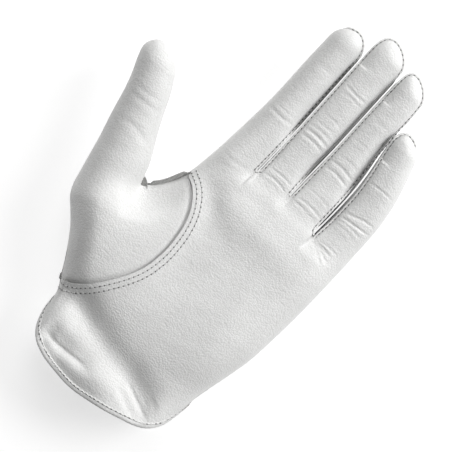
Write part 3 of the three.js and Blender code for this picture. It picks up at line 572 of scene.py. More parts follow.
def column(k, front):
    """Plan points of finger column k, (rows, columns, 2)."""
    finger = FINGERS[NAMES[k]]
    left = thumb_border(front) if k == 0 else border(k, -1, front)
    right = little_border(front) if k == 3 else border(k, 1, front)
    centre = float(middle_of(finger, finger["cut"])[0][0])
    shares = across_shares((centre - left[-1, 0]) / (right[-1, 0] - left[-1, 0]))
    slit = 0 if front else SLIT_HALF
    first = HEM_CORNERS[0] if k == 0 else HEM_SHARES[k] + slit * (k == SLIT_BORDER)
    last = HEM_CORNERS[1] if k == 3 else HEM_SHARES[k + 1] - slit * (k + 1 == SLIT_BORDER)
    bottom = low_edge(first + (last - first) * shares, front)
    top = left[-1] + (right[-1] - left[-1]) * shares[:, None]
    return coons(bottom, top, left, right, shares)


def meet_at_fold(k, plan, z, front):
    """Puts the outer border of the first or last column on the fold that front and back share."""
    side = 0 if k == 0 else -1
    x, y = plan[:, side].T
    level = fold_height(x, y)
    level += (FINGERS[NAMES[k]]["heights"](y)[:, 0] - level) * smooth((y - 8) / 16)
    row = np.arange(len(y))
    on_fold = row >= HEM_SIDE_ROWS - 1
    if k == 0:
        sewn = (row > HEM_SIDE_ROWS + CUFF_SIDE_ROWS - 2) & (row < len(y) - INDEX_SIDE_ROWS)
        on_fold &= ~sewn | (not front) & (y > BACK_FOLD_FROM)
    z[on_fold, side] = level[on_fold]


def panel_heights(k, plan, front):
    """Heights of column k's points. The palm's own height gives way to the finger's round near its base."""
    finger = FINGERS[NAMES[k]]
    x, y = plan[..., 0].ravel(), plan[..., 1].ravel()
    d = outline_distance(x, y)
    share = smooth((y - finger["cut"]) / (ROUND_REACH - 1) + 1.1)
    round_height, w = finger_height(finger, x, y, front)
    z = body_height(x, y, d, front) * (1 - share) + round_height * share
    z += (LAP if front else -LAP) * near_seam(x, y, d, front, LAP_REACH)
    z += unevenness(x, y, front) * (smooth(d / 4) * (1 - share) + (1 - w**3) * share)
    if not front:
        z = np.maximum(z, floor_of(y) + BACK_CLEAR)
    z = z.reshape(plan.shape[:2])
    if k in (0, 3):
        meet_at_fold(k, plan, z, front)
    return z


PANELS = {}              # front or back -> the grids of its four columns


def make_panel(front):
    columns = []
    for k in range(4):
        plan = column(k, front)
        columns.append(np.dstack([plan, panel_heights(k, plan, front)]))
    for k in range(3):
        first = 0 if front or k + 1 != SLIT_BORDER else SLIT_ROWS + 1
        shared = slice(first, BODY_ROWS + 1)
        mean = (columns[k][shared, -1] + columns[k + 1][shared, 0]) / 2
        columns[k][shared, -1] = mean
        columns[k + 1][shared, 0] = mean
    PANELS[front] = columns
    points, faces, base = [], [], 0
    for grid in columns:
        points.append(grid.reshape(-1, 3))
        faces.append(grid_faces(*grid.shape[:2], flipped=not front) + base)
        base += len(points[-1])
    side = "palm" if front else "back"
    Sheet(f"{side}_leather_panel", *merge(np.vstack(points), np.vstack(faces)), ride="palm",
          replaces=[f"{side}_panel"], slot=f"{side}_leather")


# ---------- the fingers ----------
CAP_STEPS = 26           # cells round a fingertip
BACK_CAP = 0.93          # length of the back's round end, as a share
BACK_TIP_DROP = 0.28     # how far the back's seam comes down round the tip, as a share
ROLL_LENGTH = 22.0       # the right seam rolls under over this length
RAISE_LENGTH = 12.0      # the left seam eases to its own height over this length
TIP_REACH = 9.0          # the seam comes down half way to the tip's height this far before the round end
BEND_REACH = 9.0         # the blend noted about a joint reaches at most this far on each side
MID_LEVEL = 20           # height of the points that say where a blend starts and ends
STRIP_CELLS = 8          # cells across a side strip
SWELL_LOW = 1.7          # above 1, the strips between the fingers swell most near the back
LONE_SWELL = 0.5         # swelling of a strip with no finger beside it, and of those round the tips
SEWN_BELOW = 0.6         # an edge is sewn where it is folded less than this
SIDES = {"index": ["side_right"], "middle": ["side_right", "side_left"], "ring": ["side_right", "side_left"],
         "little": ["side_left"]}
SEAMS = []               # (group, points, outward normals, up or down, size, facts): every line that is sewn


class Sleeve:
    """One finger's outline, sampled up its left side, round the tip and down its right side."""

    def __init__(self, name):
        self.name = name
        self.finger = f = FINGERS[name]
        self.cap_start = f["tip"] - f["cap"]
        low = np.linspace(f["cut"], f["split"], max(int((f["split"] - f["cut"]) / STEP), 4) + 1)
        high = np.linspace(f["split"], self.cap_start, int((self.cap_start - f["split"]) / STEP) + 1)
        up = np.concatenate([low, high[1:]])
        turn = np.linspace(0, math.pi, CAP_STEPS + 1)[1:-1]
        n = len(up)
        self.side = np.concatenate([-np.ones(n), -np.cos(turn), np.ones(n)])
        self.bulge = np.concatenate([np.zeros(n), np.sin(turn), np.zeros(n)])
        self.straight_y = np.concatenate([up, np.full(len(turn), self.cap_start), up[::-1]])
        left, right = (1.0 if fold else 0.0 for fold in f["folds"])
        around = np.concatenate([np.zeros(n), turn / math.pi, np.ones(n)])
        blend = smooth((around - (0.12 if left else 0.58)) / 0.3)
        self.fold = left * (1 - blend) + right * blend
        self.root = (self.straight_y <= f["split"] + 1e-6) & (self.bulge == 0)

    def shares(self, front):
        """Seam height as a share: high on the left, rolled under on the right, and low round the tip."""
        tip = smooth(self.bulge)
        if not front:
            return BACK_SEAM - BACK_TIP_DROP * tip
        y, f = self.straight_y, self.finger
        left = FRONT_SEAM + (LEFT_SEAM - FRONT_SEAM) * smooth((y - f["cut"]) / RAISE_LENGTH)
        right = FRONT_SEAM + (RIGHT_SEAM - FRONT_SEAM) * smooth((y - f["rolls"]) / ROLL_LENGTH)
        along = np.where(self.side < 0, left, right)
        near_tip = (0.5 + 0.5 * tip) * (y > self.cap_start - TIP_REACH)
        return along * (1 - near_tip) + TIP_SEAM * near_tip

    def edge_plan(self, front):
        """Outline at the seam."""
        f = self.finger
        inset = SEAM_INSET * (1 - self.fold)
        cap = f["cap"] - inset if front else f["cap"] * (BACK_CAP + (1 - BACK_CAP) * self.fold)
        y = self.straight_y + cap * self.bulge
        mx, a, *_ = middle_of(f, y)
        reach = a - inset if front else a * (BACK_WIDTH + (1 - BACK_WIDTH) * self.fold)
        return np.stack([mx + f["lean"] * self.bulge**2 + reach * self.side, y], axis=1)

    def grid(self, front):
        """Points (samples, rings, 3) from the middle line out to the edge."""
        edge = self.edge_plan(front)
        medial = np.stack([middle_of(self.finger, self.straight_y)[0], self.straight_y], axis=1)
        w = ring_shares()
        plan = medial[:, None] + (edge - medial)[:, None] * w[None, :, None]
        x, y = plan[..., 0].ravel(), plan[..., 1].ravel()
        middle, up, down = (part.reshape(plan.shape[:2]) for part in self.finger["heights"](y).T)
        lift = lift_of(w[None], self.fold[:, None], self.shares(front)[:, None])
        z = middle + up * lift if front else middle - down * lift
        z += unevenness(x, y, front).reshape(z.shape) * (1 - w[None] ** 3)
        return np.dstack([plan, z])

    def facts(self, part):
        """Which two bodies a piece is noted with, and the ends of the blend between them: the root's about the
        knuckle, the end's about the middle joint.
        """
        f = self.finger
        x = float(middle_of(f, f["bend"])[0][0])
        if part == "root":
            ends = (x, f["cut"], MID_LEVEL), (x, f["split"] - 1, MID_LEVEL)
            return {"blend": ("palm", f"{self.name}_base", *ends)}
        reach = min(f["bend"] - f["split"] - 1, BEND_REACH)
        ends = (x, f["bend"] - reach, MID_LEVEL), (x, f["bend"] + reach, MID_LEVEL)
        return {"blend": (f"{self.name}_base", f"{self.name}_tip", *ends)}

    def node(self, part, kind):
        """The name of the CAD node that a piece stands for."""
        return f"{self.name}_{'base' if part == 'root' else 'tip'}_{kind}"


def make_sides(sleeve, grid, flipped, kind, slot):
    """A finger's palm side or back, as its root and its end."""
    rows, wide = grid.shape[:2]
    faces = grid_faces(rows, wide, flipped).reshape(rows - 1, wide - 1, 4)
    both = sleeve.root[:-1] & sleeve.root[1:]
    for part, chosen in (("root", both), ("end", ~both)):
        part_sheet(f"{sleeve.name}_{part}_{kind}", grid, faces[chosen], slot=slot,
                   replaces=[sleeve.node(part, kind)], **sleeve.facts(part))


def strip_bulge(name, side, y):
    """How far a side strip swells, so that it nearly meets the strip of the finger beside it."""
    k = NAMES.index(name) + side
    if not 0 <= k < len(NAMES):
        return np.full(len(y), LONE_SWELL)
    beside = FINGERS[NAMES[k]]
    own_edge = FINGERS[name]["edges"](y)[:, 1 if side > 0 else 0]
    gap = side * (beside["edges"](y)[:, 0 if side > 0 else 1] - own_edge)
    reach = np.clip(0.85 + gap / 2, 0.5, 2.6)
    past = smooth((y - beside["tip"] + beside["cap"]) / 6)
    return reach * (1 - past) + 0.7 * past


def side_strip(front_edge, back_edge, outward, bulge):
    """Points between the palm-side seam and the back seam, swelling outwards."""
    h = np.linspace(0, 1, STRIP_CELLS + 1)
    flat = front_edge[:, None] * (1 - h)[None, :, None] + back_edge[:, None] * h[None, :, None]
    swell = np.sin(math.pi * h**SWELL_LOW) ** 0.8
    return flat + outward[:, None] * (bulge[:, None] * swell[None])[..., None]


def plan_normals(points):
    """Level normals, to the left of the way along the points."""
    along = np.gradient(points[:, :2], axis=0)
    normal = np.stack([-along[:, 1], along[:, 0], np.zeros(len(along))], axis=1)
    return normal / np.maximum(np.linalg.norm(normal, axis=1, keepdims=True), 1e-9)


def reach_of(part, rows, count):
    """First and last of the rows. A finger's end takes one more at each side, to meet the root."""
    more = 1 if part == "end" else 0
    return max(rows[0] - more, 0), min(rows[-1] + more, count - 1)


def make_strips(sleeve, front, back, outward):
    """The side strips: left, then right; round the tip they meet in the middle."""
    y = sleeve.straight_y
    swell = np.where(sleeve.side < 0, strip_bulge(sleeve.name, -1, y), strip_bulge(sleeve.name, 1, y))
    swell = swell * (1 - smooth(sleeve.bulge)) + LONE_SWELL * smooth(sleeve.bulge)
    strip = side_strip(front, back, outward, swell * (1 - sleeve.fold))
    middle = len(strip) // 2
    for label, start, end in (("side_left", 0, middle + 1), ("side_right", middle, len(strip))):
        sewn = np.nonzero(sleeve.fold[start:end] < 0.995)[0]
        if len(sewn) < 3:
            continue
        first, last = max(sewn[0] - 1, 0), min(sewn[-1] + 1, end - start - 1)
        chosen = slice(start + first, start + last + 1)
        kind = label if label in SIDES[sleeve.name] else SIDES[sleeve.name][0]
        for part in ("root", "end"):
            rows = np.nonzero(sleeve.root[chosen] == (part == "root"))[0]
            if len(rows) < 2:
                continue
            a, b = reach_of(part, rows, last - first + 1)
            grid_sheet(f"{sleeve.name}_{part}_{label}", strip[chosen][a:b + 1], True, slot="side_leather",
                       replaces=[sleeve.node(part, kind)], **sleeve.facts(part))


def mark_seam(sleeve, edge, outward, up):
    """Notes where a finger's edge is sewn, root and end apart."""
    for part in ("root", "end"):
        inside = np.nonzero((sleeve.fold < SEWN_BELOW) & (sleeve.root == (part == "root")))[0]
        for run in np.split(inside, np.nonzero(np.diff(inside) > 1)[0] + 1):
            if not len(run):
                continue
            a, b = reach_of(part, run, len(edge))
            if b - a < 2:
                continue
            rows = slice(a, b + 1)
            size = smooth((SEWN_BELOW + 0.02 - sleeve.fold[rows]) / 0.4)
            if up > 0:
                rolled = smooth((0.55 - sleeve.shares(True)[rows]) / 0.3) * (sleeve.bulge[rows] < 0.05)
                size = size * (1 - 0.6 * rolled)
            SEAMS.append((f"{sleeve.name}_{part}", edge[rows], outward[rows], up, size, sleeve.facts(part)))


def make_finger(name):
    sleeve = Sleeve(name)
    front, back = sleeve.grid(True), sleeve.grid(False)
    make_sides(sleeve, front, True, "palm_side", "palm_leather")
    make_sides(sleeve, back, False, "back", "back_leather")
    outward = plan_normals(front[:, -1])
    make_strips(sleeve, front[:, -1], back[:, -1], outward)
    mark_seam(sleeve, front[:, -1], outward, 1.0)
    mark_seam(sleeve, back[:, -1], outward, -1.0)


def make_feet():
    """The strips round the three crotches, and the seams along them."""
    for k, name in enumerate(("index_middle", "middle_ring", "ring_little")):
        edges = []
        for front in (True, False):
            a, b = PANELS[front][k][BODY_ROWS:, -1], PANELS[front][k + 1][BODY_ROWS:, 0]
            edges.append(np.vstack([a[::-1], b[1:]]))
        outward = plan_normals(edges[0])
        ends = [float(strip_bulge(NAMES[j], side, np.array([FINGERS[NAMES[j]]["cut"]]))[0])
                for j, side in ((k, 1), (k + 1, -1))]
        t = np.linspace(-1, 1, len(edges[0]))
        swell = 0.4 + (np.where(t < 0, *ends) - 0.4) * np.abs(t)
        grid_sheet(f"{name}_crotch_strip", side_strip(*edges, outward, swell), True, ride="palm",
                   slot="side_leather", replaces=[f"{name}_side_foot"])
        for edge, up in zip(edges, (1.0, -1.0)):
            SEAMS.append(("palm", edge, outward, up, np.ones(len(edge)), {"ride": "palm"}))


# ---------- the thumb ----------
THUMB_SPLIT = 0.5        # share of the straight part where the sleeve's two pieces meet
THUMB_AXIS = np.array([-0.23, 0.973])   # the way the thumb points
THUMB_CREASES = [([(-57, 3), (-66, 6), (-76, 6)], 1.8, 0.28), ([(-64, 19), (-72, 18), (-82, 17.4)], 1.5, 0.22),
                 ([(-66, 23.4), (-74, 22), (-82, 21.4)], 1.3, 0.16)]
THUMB_BLENDS = {"middle": ("palm", "thumb_middle", 0, 15), "tip": ("thumb_middle", "thumb_tip", -1, 14)}
SEAM_DIP = 1.0           # how far the thumb's leather is pulled down where the palm panel is sewn over it
DIP_REACH = {True: 1.6, False: 2.4}     # how far the dip reaches, in front and behind
UNDER_LAP = 2.5          # how far the thumb's leather runs on under the palm panel
FOOT_ROWS = 90           # rows of cells from the start of the thumb's seam to the thumb's root
WEB_COLUMNS = 22         # and columns across the web
FOLD_REACH = 5.0         # the leather eases into the fold of the silhouette over this length
SEAM_START = (-46.9, -72.3)             # where the thumb's leather runs out under the palm and the back
WEB_EDGE = [(-49, -10), (-46, -10), (-42.4, -6.6), (-39.6, -2.4), (-36.4, 4.2)]


def thumb_plan():
    """Middle points and edge points of the thumb: up its left side, round the tip, down its right side."""
    left, right = (np.array(side, float) for side in zip(*THUMB_PAIRS))
    count = int(run_of((left + right) / 2)[-1] / STEP) + 1
    shares = np.linspace(0, 1, count)
    left, right = even(curve(left, 200), shares), even(curve(right, 200), shares)
    cap = curve(THUMB_CAP, CAP_STEPS + 1)[1:-1]
    medial = (left + right) / 2
    middle = np.vstack([medial, np.repeat(medial[-1:], len(cap), axis=0), medial[::-1]])
    return middle, np.vstack([left, cap, right[::-1]]), count


def thumb_grid(front):
    middle, edge, count = thumb_plan()
    w = ring_shares()
    plan = middle[:, None] + (edge - middle)[:, None] * w[None, :, None]
    x, y = plan[..., 0].ravel(), plan[..., 1].ravel()
    level, up, down = (part.reshape(plan.shape[:2]) for part in THUMB_HEIGHTS(y).T)
    lift = lift_of(w, 1.0, 0.0)[None]
    ripple = (waves(x, y) - crease_depth(x, y, THUMB_CREASES)).reshape(plan.shape[:2]) * (1 - w[None] ** 4)
    from_root = np.minimum(np.arange(len(edge)), np.arange(len(edge))[::-1])
    ripple *= smooth(from_root / 8.0)[:, None]
    z = level + up * lift + ripple if front else level - down * lift + 0.5 * ripple
    return np.dstack([plan, z]), count


def make_thumb():
    """The thumb's sleeve, in a front and a rear layer, each cut into a middle piece and a tip."""
    for front, layer in ((True, "front"), (False, "rear")):
        grid, count = thumb_grid(front)
        rows, wide = grid.shape[:2]
        cut = int(count * THUMB_SPLIT)
        index = np.arange(rows)
        low = (index <= cut) | (index >= rows - 1 - cut)
        faces = grid_faces(rows, wide, front).reshape(rows - 1, wide - 1, 4)
        both = low[:-1] & low[1:]
        for part, chosen, at in (("middle", both, grid[0, 0, :2]), ("tip", ~both, grid[cut, 0, :2])):
            body, next_body, *ends = THUMB_BLENDS[part]
            start, end = ((*(at + THUMB_AXIS * e), MID_LEVEL) for e in ends)
            part_sheet(f"thumb_{part}_{layer}", grid, faces[chosen], slot="palm_leather",
                       replaces=[f"thumb_{part}"], blend=(body, next_body, start, end))


def thenar_heights(plan, front):
    """Heights of the leather between the thumb and the palm. Near the thumb it takes the thumb's round."""
    x, y = plan[..., 0].ravel(), plan[..., 1].ravel()
    edge, _ = near_line(x, y, plan[:, 0])
    d = np.maximum(outline_distance(x, y), edge * (1 - smooth(edge / 6)))
    root = np.array(THUMB_PAIRS[0], float)
    centre, width = root.mean(0), np.linalg.norm(root[1] - root[0])
    across = (root[1] - root[0]) / width
    w = np.clip(np.abs((x - centre[0]) * across[0] + (y - centre[1]) * across[1]) / (width / 2), 0, 1)
    level, up, down = THUMB_HEIGHTS(y).T
    lift = lift_of(w, 1.0, 0.0)
    tube = level + up * lift if front else level - down * lift
    away, _ = near_line(x, y, root)
    share = 1 - smooth(away / THUMB_REACH)
    z = body_height(x, y, d, front) * (1 - share) + tube * share
    z += unevenness(x, y, front) * (smooth(d / 4) * (1 - share))
    z += (-SEAM_DIP if front else SEAM_DIP) * near_seam(x, y, d, front, DIP_REACH[front])
    return z.reshape(plan.shape[:2])


def thumb_base_plan(front):
    """Plan of the thumb's base, from the start of its seam up to the thumb's root and the web."""
    left, right = np.array(THUMB_PAIRS[0], float)
    side = [q for q in THUMB_SIDE if -66 < q[1] < -18 and q[0] < -53]
    silhouette = curve([SEAM_START, (-47.6, -70.9)] + side + [tuple(left)], FOOT_ROWS)
    seam = curve([SEAM_START] + (THUMB_SEAM if front else BACK_THUMB_SEAM)[1:], FOOT_ROWS)
    row = np.arange(FOOT_ROWS)
    lap = UNDER_LAP * smooth(row / 6.0) * smooth((FOOT_ROWS - 1 - row) / 6.0)
    seam = seam + right_of(seam) * lap[:, None]
    ring = ring_shares()[:, None]
    centre = (left + right) / 2
    web = curve([tuple(right)] + WEB_EDGE + [tuple(seam[-1])], WEB_COLUMNS)
    top = np.vstack([centre + (left - centre) * ring[::-1], centre + (right - centre) * ring[1:], web[1:]])
    shares = run_of(top) / run_of(top)[-1]
    bottom = np.repeat([SEAM_START], len(top), axis=0)
    return coons(bottom, top, silhouette, seam, shares)


def make_thumb_base():
    for front, layer in ((True, "front"), (False, "rear")):
        plan = thumb_base_plan(front)
        z = thenar_heights(plan, front)
        # both layers end on the same fold, along the silhouette and along the web
        step = fold_height(*plan[:, 0].T) - z[:, 0]
        away = np.linalg.norm(plan - plan[:, :1], axis=2)
        z += step[:, None] * (1 - smooth(away / FOLD_REACH))
        z[-1, 2 * RINGS:] = fold_height(*plan[-1, 2 * RINGS:].T)
        grid_sheet(f"thumb_base_{layer}", np.dstack([plan, z]), not front, ride="palm", slot="palm_leather",
                   replaces=["thumb_base"])


# ---------- sewn edges ----------
# The two layers of a seam, seen from its end: (outward, up), from the palm side's leather round to the side strip's.
WELT = [(-0.5, 0.02), (-0.1, -0.06), (0.22, 0.0), (0.6, 0.2), (0.96, 0.1), (1.16, -0.12), (1.1, -0.28), (0.98, -0.34),
        (1.1, -0.42), (1.14, -0.66), (0.9, -0.9), (0.4, -0.98), (-0.1, -1.0), (-0.5, -0.8)]
STITCH_LENGTH, STITCH_WIDTH = 1.7, 0.4
STITCH_SIDES = 8
# Rings of a stitch: (share of its length from the middle, share of its width).
STITCH_RINGS = ((-0.42, 0.6), (-0.25, 0.95), (0, 1), (0.25, 0.95), (0.42, 0.6))
HOLE_WIDTH, HOLE_SIDES = 0.62, 10
FIRST_STITCH, LAST_STITCH = 1.2, 0.6    # distance of the first and last stitch from the ends of their line
EDGE_HOLE, SEAM_HOLE, HEM_HOLE = 1.3, 0.9, 1.25     # lengths of the holes between stitches
BUNDLES = {}             # (name, slot) -> (bundle, facts)


def resample(points, step, *others):
    """Distances every step along a line, and the line's points and other values there."""
    run = run_of(points)
    at = np.linspace(0, run[-1], max(int(run[-1] / step), 2) + 1)
    return at, [np.stack([np.interp(at, run, values[:, c]) for c in range(values.shape[1])], axis=1)
                for values in (points, *others)]


def unit(vectors):
    return vectors / np.maximum(np.linalg.norm(vectors, axis=-1, keepdims=True), 1e-9)


def ring_faces(rings, wide, first=0):
    """Quads between closed rings of wide points each, counted from the point called first."""
    faces = []
    for r in range(first, first + (rings - 1) * wide, wide):
        for i in range(wide):
            j = (i + 1) % wide
            faces.append((r + i, r + j, r + wide + j, r + wide + i))
    return faces


def ring_solid(rings):
    """A solid from closed rings of points, with a flat face at each end."""
    count, wide = rings.shape[:2]
    last = (count - 1) * wide
    ends = [tuple(range(wide - 1, -1, -1)), tuple(range(last, last + wide))]
    return rings.reshape(-1, 3), ring_faces(count, wide) + ends


def sweep(points, outward, upward, outline, size, ripple):
    """A solid along points, with an outline given as (outward, upward) pairs."""
    shape = np.array(outline, float)
    swell = 1 + ripple * np.cos(2 * math.pi * run_of(points) / STITCH_PITCH)
    out = outward[:, None] * (shape[None, :, :1] * (size * swell)[:, None, None])
    up = upward[:, None] * (shape[None, :, 1:] * (size * swell)[:, None, None])
    return ring_solid(points[:, None] + out + up)


def stitch(centre, along, upward):
    """A short thread, flattened and with round ends."""
    upward = unit(upward - along * (upward @ along))
    side = np.cross(along, upward)
    end = along * STITCH_LENGTH / 2
    sunk = upward * STITCH_WIDTH * 0.35
    points = [centre - end - sunk]
    for share, size in STITCH_RINGS:
        raised = upward * STITCH_WIDTH * 0.12 * (1 - (share / 0.42) ** 2)
        middle = centre + along * STITCH_LENGTH * share + raised
        for a in np.linspace(0, 2 * math.pi, STITCH_SIDES, endpoint=False):
            points.append(middle + (side * math.cos(a) + upward * math.sin(a)) * STITCH_WIDTH / 2 * size)
    points.append(centre + end - sunk)
    faces = ring_faces(len(STITCH_RINGS), STITCH_SIDES, 1)
    last = len(points) - 1
    for i in range(STITCH_SIDES):
        j = (i + 1) % STITCH_SIDES
        faces.append((0, 1 + j, 1 + i))
        faces.append((last, last - STITCH_SIDES + i, last - STITCH_SIDES + j))
    return np.array(points), faces


class Bundle:
    """Small solids that become one object."""

    def __init__(self):
        self.points, self.faces, self.count = [], [], 0

    def add(self, points, faces):
        self.points.append(points)
        self.faces += [tuple(i + self.count for i in f) for f in faces]
        self.count += len(points)


def bundle(name, slot, facts):
    if (name, slot) not in BUNDLES:
        BUNDLES[name, slot] = (Bundle(), facts)
    return BUNDLES[name, slot][0]


def painted_needle_hole(centre, along, upward, length):
    """A small dark lens on the leather where the thread goes down, a little wider than the thread: its dark colour is
    painted shade for the needle hole.
    """
    side = unit(np.cross(upward, along))
    turn = np.linspace(0, 2 * math.pi, HOLE_SIDES, endpoint=False)
    ring = [centre + along * math.cos(a) * length / 2 + side * math.sin(a) * HOLE_WIDTH / 2 for a in turn]
    points = [p + upward * 0.05 for p in ring] + [p - upward * 0.15 for p in ring] + [centre + upward * 0.08]
    faces = [(i, (i + 1) % HOLE_SIDES, 2 * HOLE_SIDES) for i in range(HOLE_SIDES)]
    faces += [face[::-1] for face in ring_faces(2, HOLE_SIDES)]
    faces.append(tuple(range(2 * HOLE_SIDES - 1, HOLE_SIDES - 1, -1)))
    return np.array(points), faces


def sew(name, facts, points, outward, upward, aside, lift, hole=SEAM_HOLE):
    """Stitches along points, moved aside along outward and lifted along upward, with dark marks of painted shade for
    the needle holes between them.
    """
    at, (path, out, up) = resample(points, 0.3, outward, upward)
    threads = bundle(name, "thread", facts)
    holes = bundle(name.replace("stitches", "needle_holes"), "hole", facts)
    for s in np.arange(FIRST_STITCH, at[-1] - LAST_STITCH, STITCH_PITCH):
        i = min(max(int(round(s / at[1])), 1), len(path) - 2)
        along = unit(path[i + 1] - path[i - 1])
        middle = path[i] + out[i] * aside + up[i] * lift
        threads.add(*stitch(middle, along, up[i]))
        holes.add(*painted_needle_hole(middle + along * STITCH_PITCH / 2, along, unit(up[i]), hole))


def make_seams():
    for group, points, outward, up, size, facts in SEAMS:
        _, (path, out, size) = resample(points, 0.6, outward, size[:, None])
        out, size = unit(out), size[:, 0]
        upward = np.repeat([[0.0, 0.0, up]], len(path), axis=0)
        bundle(f"{group}_seams", "palm_leather", facts).add(
            *sweep(path, out, upward, WELT if up > 0 else WELT[::-1], 0.25 + 0.75 * size, 0.05))
        sewn = size > 0.5
        if sewn.sum() > 4:
            sew(f"{group}_stitches", facts, path[sewn], out[sewn], upward[sewn], 0.16, 0.05, EDGE_HOLE)


# ---------- the cuff ----------
# Outlines of the binding: (outward from the hem, up), round the tape.
BINDING = [(-2.5, -0.95), (-2.62, -0.5), (-2.5, 0.16), (-2.1, 0.36), (-1.4, 0.5), (-0.6, 0.52), (0.1, 0.34), (0.42, -0.1),
           (0.42, -0.6), (0.1, -1.05), (-0.6, -1.24), (-1.4, -1.2), (-2.1, -1.1)]
REAR_BINDING = [(-0.5, -0.62), (-0.55, -0.2), (-0.5, 0.1), (-0.35, 0.2), (-0.15, 0.18), (0.0, 0.06), (0.12, -0.2),
                (0.12, -0.6), (0.0, -0.84), (-0.15, -0.92), (-0.35, -0.9), (-0.5, -0.8)]
HEM_STITCH_INSET = 1.8   # distance of the hem's stitches from the edge


def hem_line(front, columns, inset):
    """Points of the panel along the hem, so many cells in from its edge."""
    lines = []
    for k in columns:
        grid = PANELS[front][k]
        at = np.arange(grid.shape[1])
        at = np.maximum(at, inset) if k == 0 else np.minimum(at, grid.shape[1] - 1 - inset) if k == 3 else at
        lines.append(grid[inset, at if k == columns[0] else at[1:]])
    if columns[0] == 0:
        lines.insert(0, PANELS[front][0][HEM_SIDE_ROWS - 1:0:-1, inset])
    if columns[-1] == 3:
        lines.append(PANELS[front][3][1:HEM_SIDE_ROWS, -1 - inset])
    return np.vstack(lines)


def make_binding(name, front, columns, node):
    points = hem_line(front, columns, 0)
    at, (path, into) = resample(points, 0.55, hem_line(front, columns, 3) - points)
    along = unit(np.gradient(path, axis=0))
    into = unit(into - along * np.sum(into * along, axis=1, keepdims=True))
    upward = np.cross(along, into) * (1 if front else -1)
    size = 0.4 + 0.6 * smooth(np.minimum(at, at[-1] - at) / 2.5)
    outline = BINDING if front else REAR_BINDING[::-1]
    bundle(name, "cuff_binding", {"ride": "palm", "replaces": [node]}).add(
        *sweep(path, -into, upward, outline, size, 0.08))
    sew("cuff_stitches", {"ride": "palm"}, path, into, upward, HEM_STITCH_INSET, 0.46 if front else 0.05, HEM_HOLE)


def make_cuff():
    make_binding("cuff_binding_front", True, (0, 1, 2, 3), "cuff_binding_palm")
    make_binding("cuff_binding_rear_thumb", False, (0, 1), "cuff_binding_back_thumb_side")
    make_binding("cuff_binding_rear_little", False, (2, 3), "cuff_binding_back_little_side")


# ---------- the thumb's seam and the web ----------
# Rows of stitches: in front or behind, distance from the seam, and the stretch of its 300 points.
STITCH_ROWS = [(True, 1.9, slice(5, 300)), (True, 4.4, slice(5, 300)), (False, 1.9, slice(8, 225))]
SLOPE_STEP = 0.4
WEB_LINE = [(-34.2, 8), (-36.4, 4), (-39.6, -2.6), (-42.6, -6.8), (-46, -10.2)]
WEB_POINTS = 40
WEB_WIDTH, WEB_LIFT = 1.9, 0.8


def surface(x, y, front):
    """Height of the palm or back panel near its thumb seam."""
    d = outline_distance(x, y)
    z = body_height(x, y, d, front) + (LAP if front else -LAP) * near_seam(x, y, d, front, LAP_REACH)
    return z + unevenness(x, y, front) * smooth(d / 4)


def surface_normals(x, y, front):
    """Directions out of the leather."""
    dx = (surface(x + SLOPE_STEP, y, front) - surface(x - SLOPE_STEP, y, front)) / (2 * SLOPE_STEP)
    dy = (surface(x, y + SLOPE_STEP, front) - surface(x, y - SLOPE_STEP, front)) / (2 * SLOPE_STEP)
    normal = unit(np.stack([-dx, -dy, np.ones(len(dx))], axis=1))
    return normal if front else -normal


def make_thumb_stitches():
    for front, offset, stretch in STITCH_ROWS:
        line = curve(THUMB_SEAM if front else BACK_THUMB_SEAM, 300)
        x, y = (line + right_of(line) * offset)[stretch].T
        points = np.stack([x, y, surface(x, y, front)], axis=1)
        normals = surface_normals(x, y, front)
        sew("thumb_seam_stitches", {"ride": "palm"}, points, normals * 0, normals, 0, 0.02)


def make_web_strip():
    """The edge of the back's leather, turned over the web."""
    outer = curve(WEB_LINE, WEB_POINTS)
    along = np.arange(WEB_POINTS)
    width = WEB_WIDTH * smooth(along / 6.0) * smooth((WEB_POINTS - 1 - along) / 6.0)
    plan = outer[:, None] + right_of(outer)[:, None] * (np.linspace(-0.2, 1, 7)[:, None] * width[:, None, None])
    x, y = plan[..., 0].ravel(), plan[..., 1].ravel()
    z = palm_height(x, y, np.maximum(outline_distance(x, y), 0.4)) + WEB_LIFT
    grid_sheet("web_strip", np.dstack([plan, z.reshape(plan.shape[:2])]), True, ride="palm", slot="back_leather")


# ---------- the wrist elastic and the closure ----------
ELASTIC_DEPTH = 1.6      # the elastic lies this far under the palm panel's outer face
ELASTIC_X, ELASTIC_Y = (-28, 22, 120), (-91, -83, 9)   # from, to, points
GATHER, GATHER_RATE = 0.25, 2.4    # height of the elastic's ripples, and how close they are
RING_POINTS = 120        # points round a flat piece
CORNER_STEPS = 6
TAB_RADIUS, PAD_RADIUS, STRIP_RADIUS = 7.0, 5.0, 1.2    # of the corners
TAB_GROOVE = 1.7         # distance of the tab's stitches from its edge
HOOK_BASE = 0.28         # the hooks stand on their tape this far below the pad's top
HOOK_PITCH = 1.0
HOOK = [(0, 0), (0, 0.16), (0.1, 0.26), (0.24, 0.22)]   # a bristle's middle line: (x, z)
HOOK_CORNERS = 0.07 * np.array([(-1, -1), (1, -1), (1, 1), (-1, 1)])


def make_elastic():
    x, y = np.meshgrid(np.linspace(*ELASTIC_X), np.linspace(*ELASTIC_Y))
    z = surface(x.ravel(), y.ravel(), True).reshape(x.shape) + GATHER * np.sin(x * GATHER_RATE) - ELASTIC_DEPTH
    grid_sheet("wrist_elastic_band", np.dstack([x, y, z]), False, ride="palm", slot="elastic",
               replaces=["wrist_elastic"])


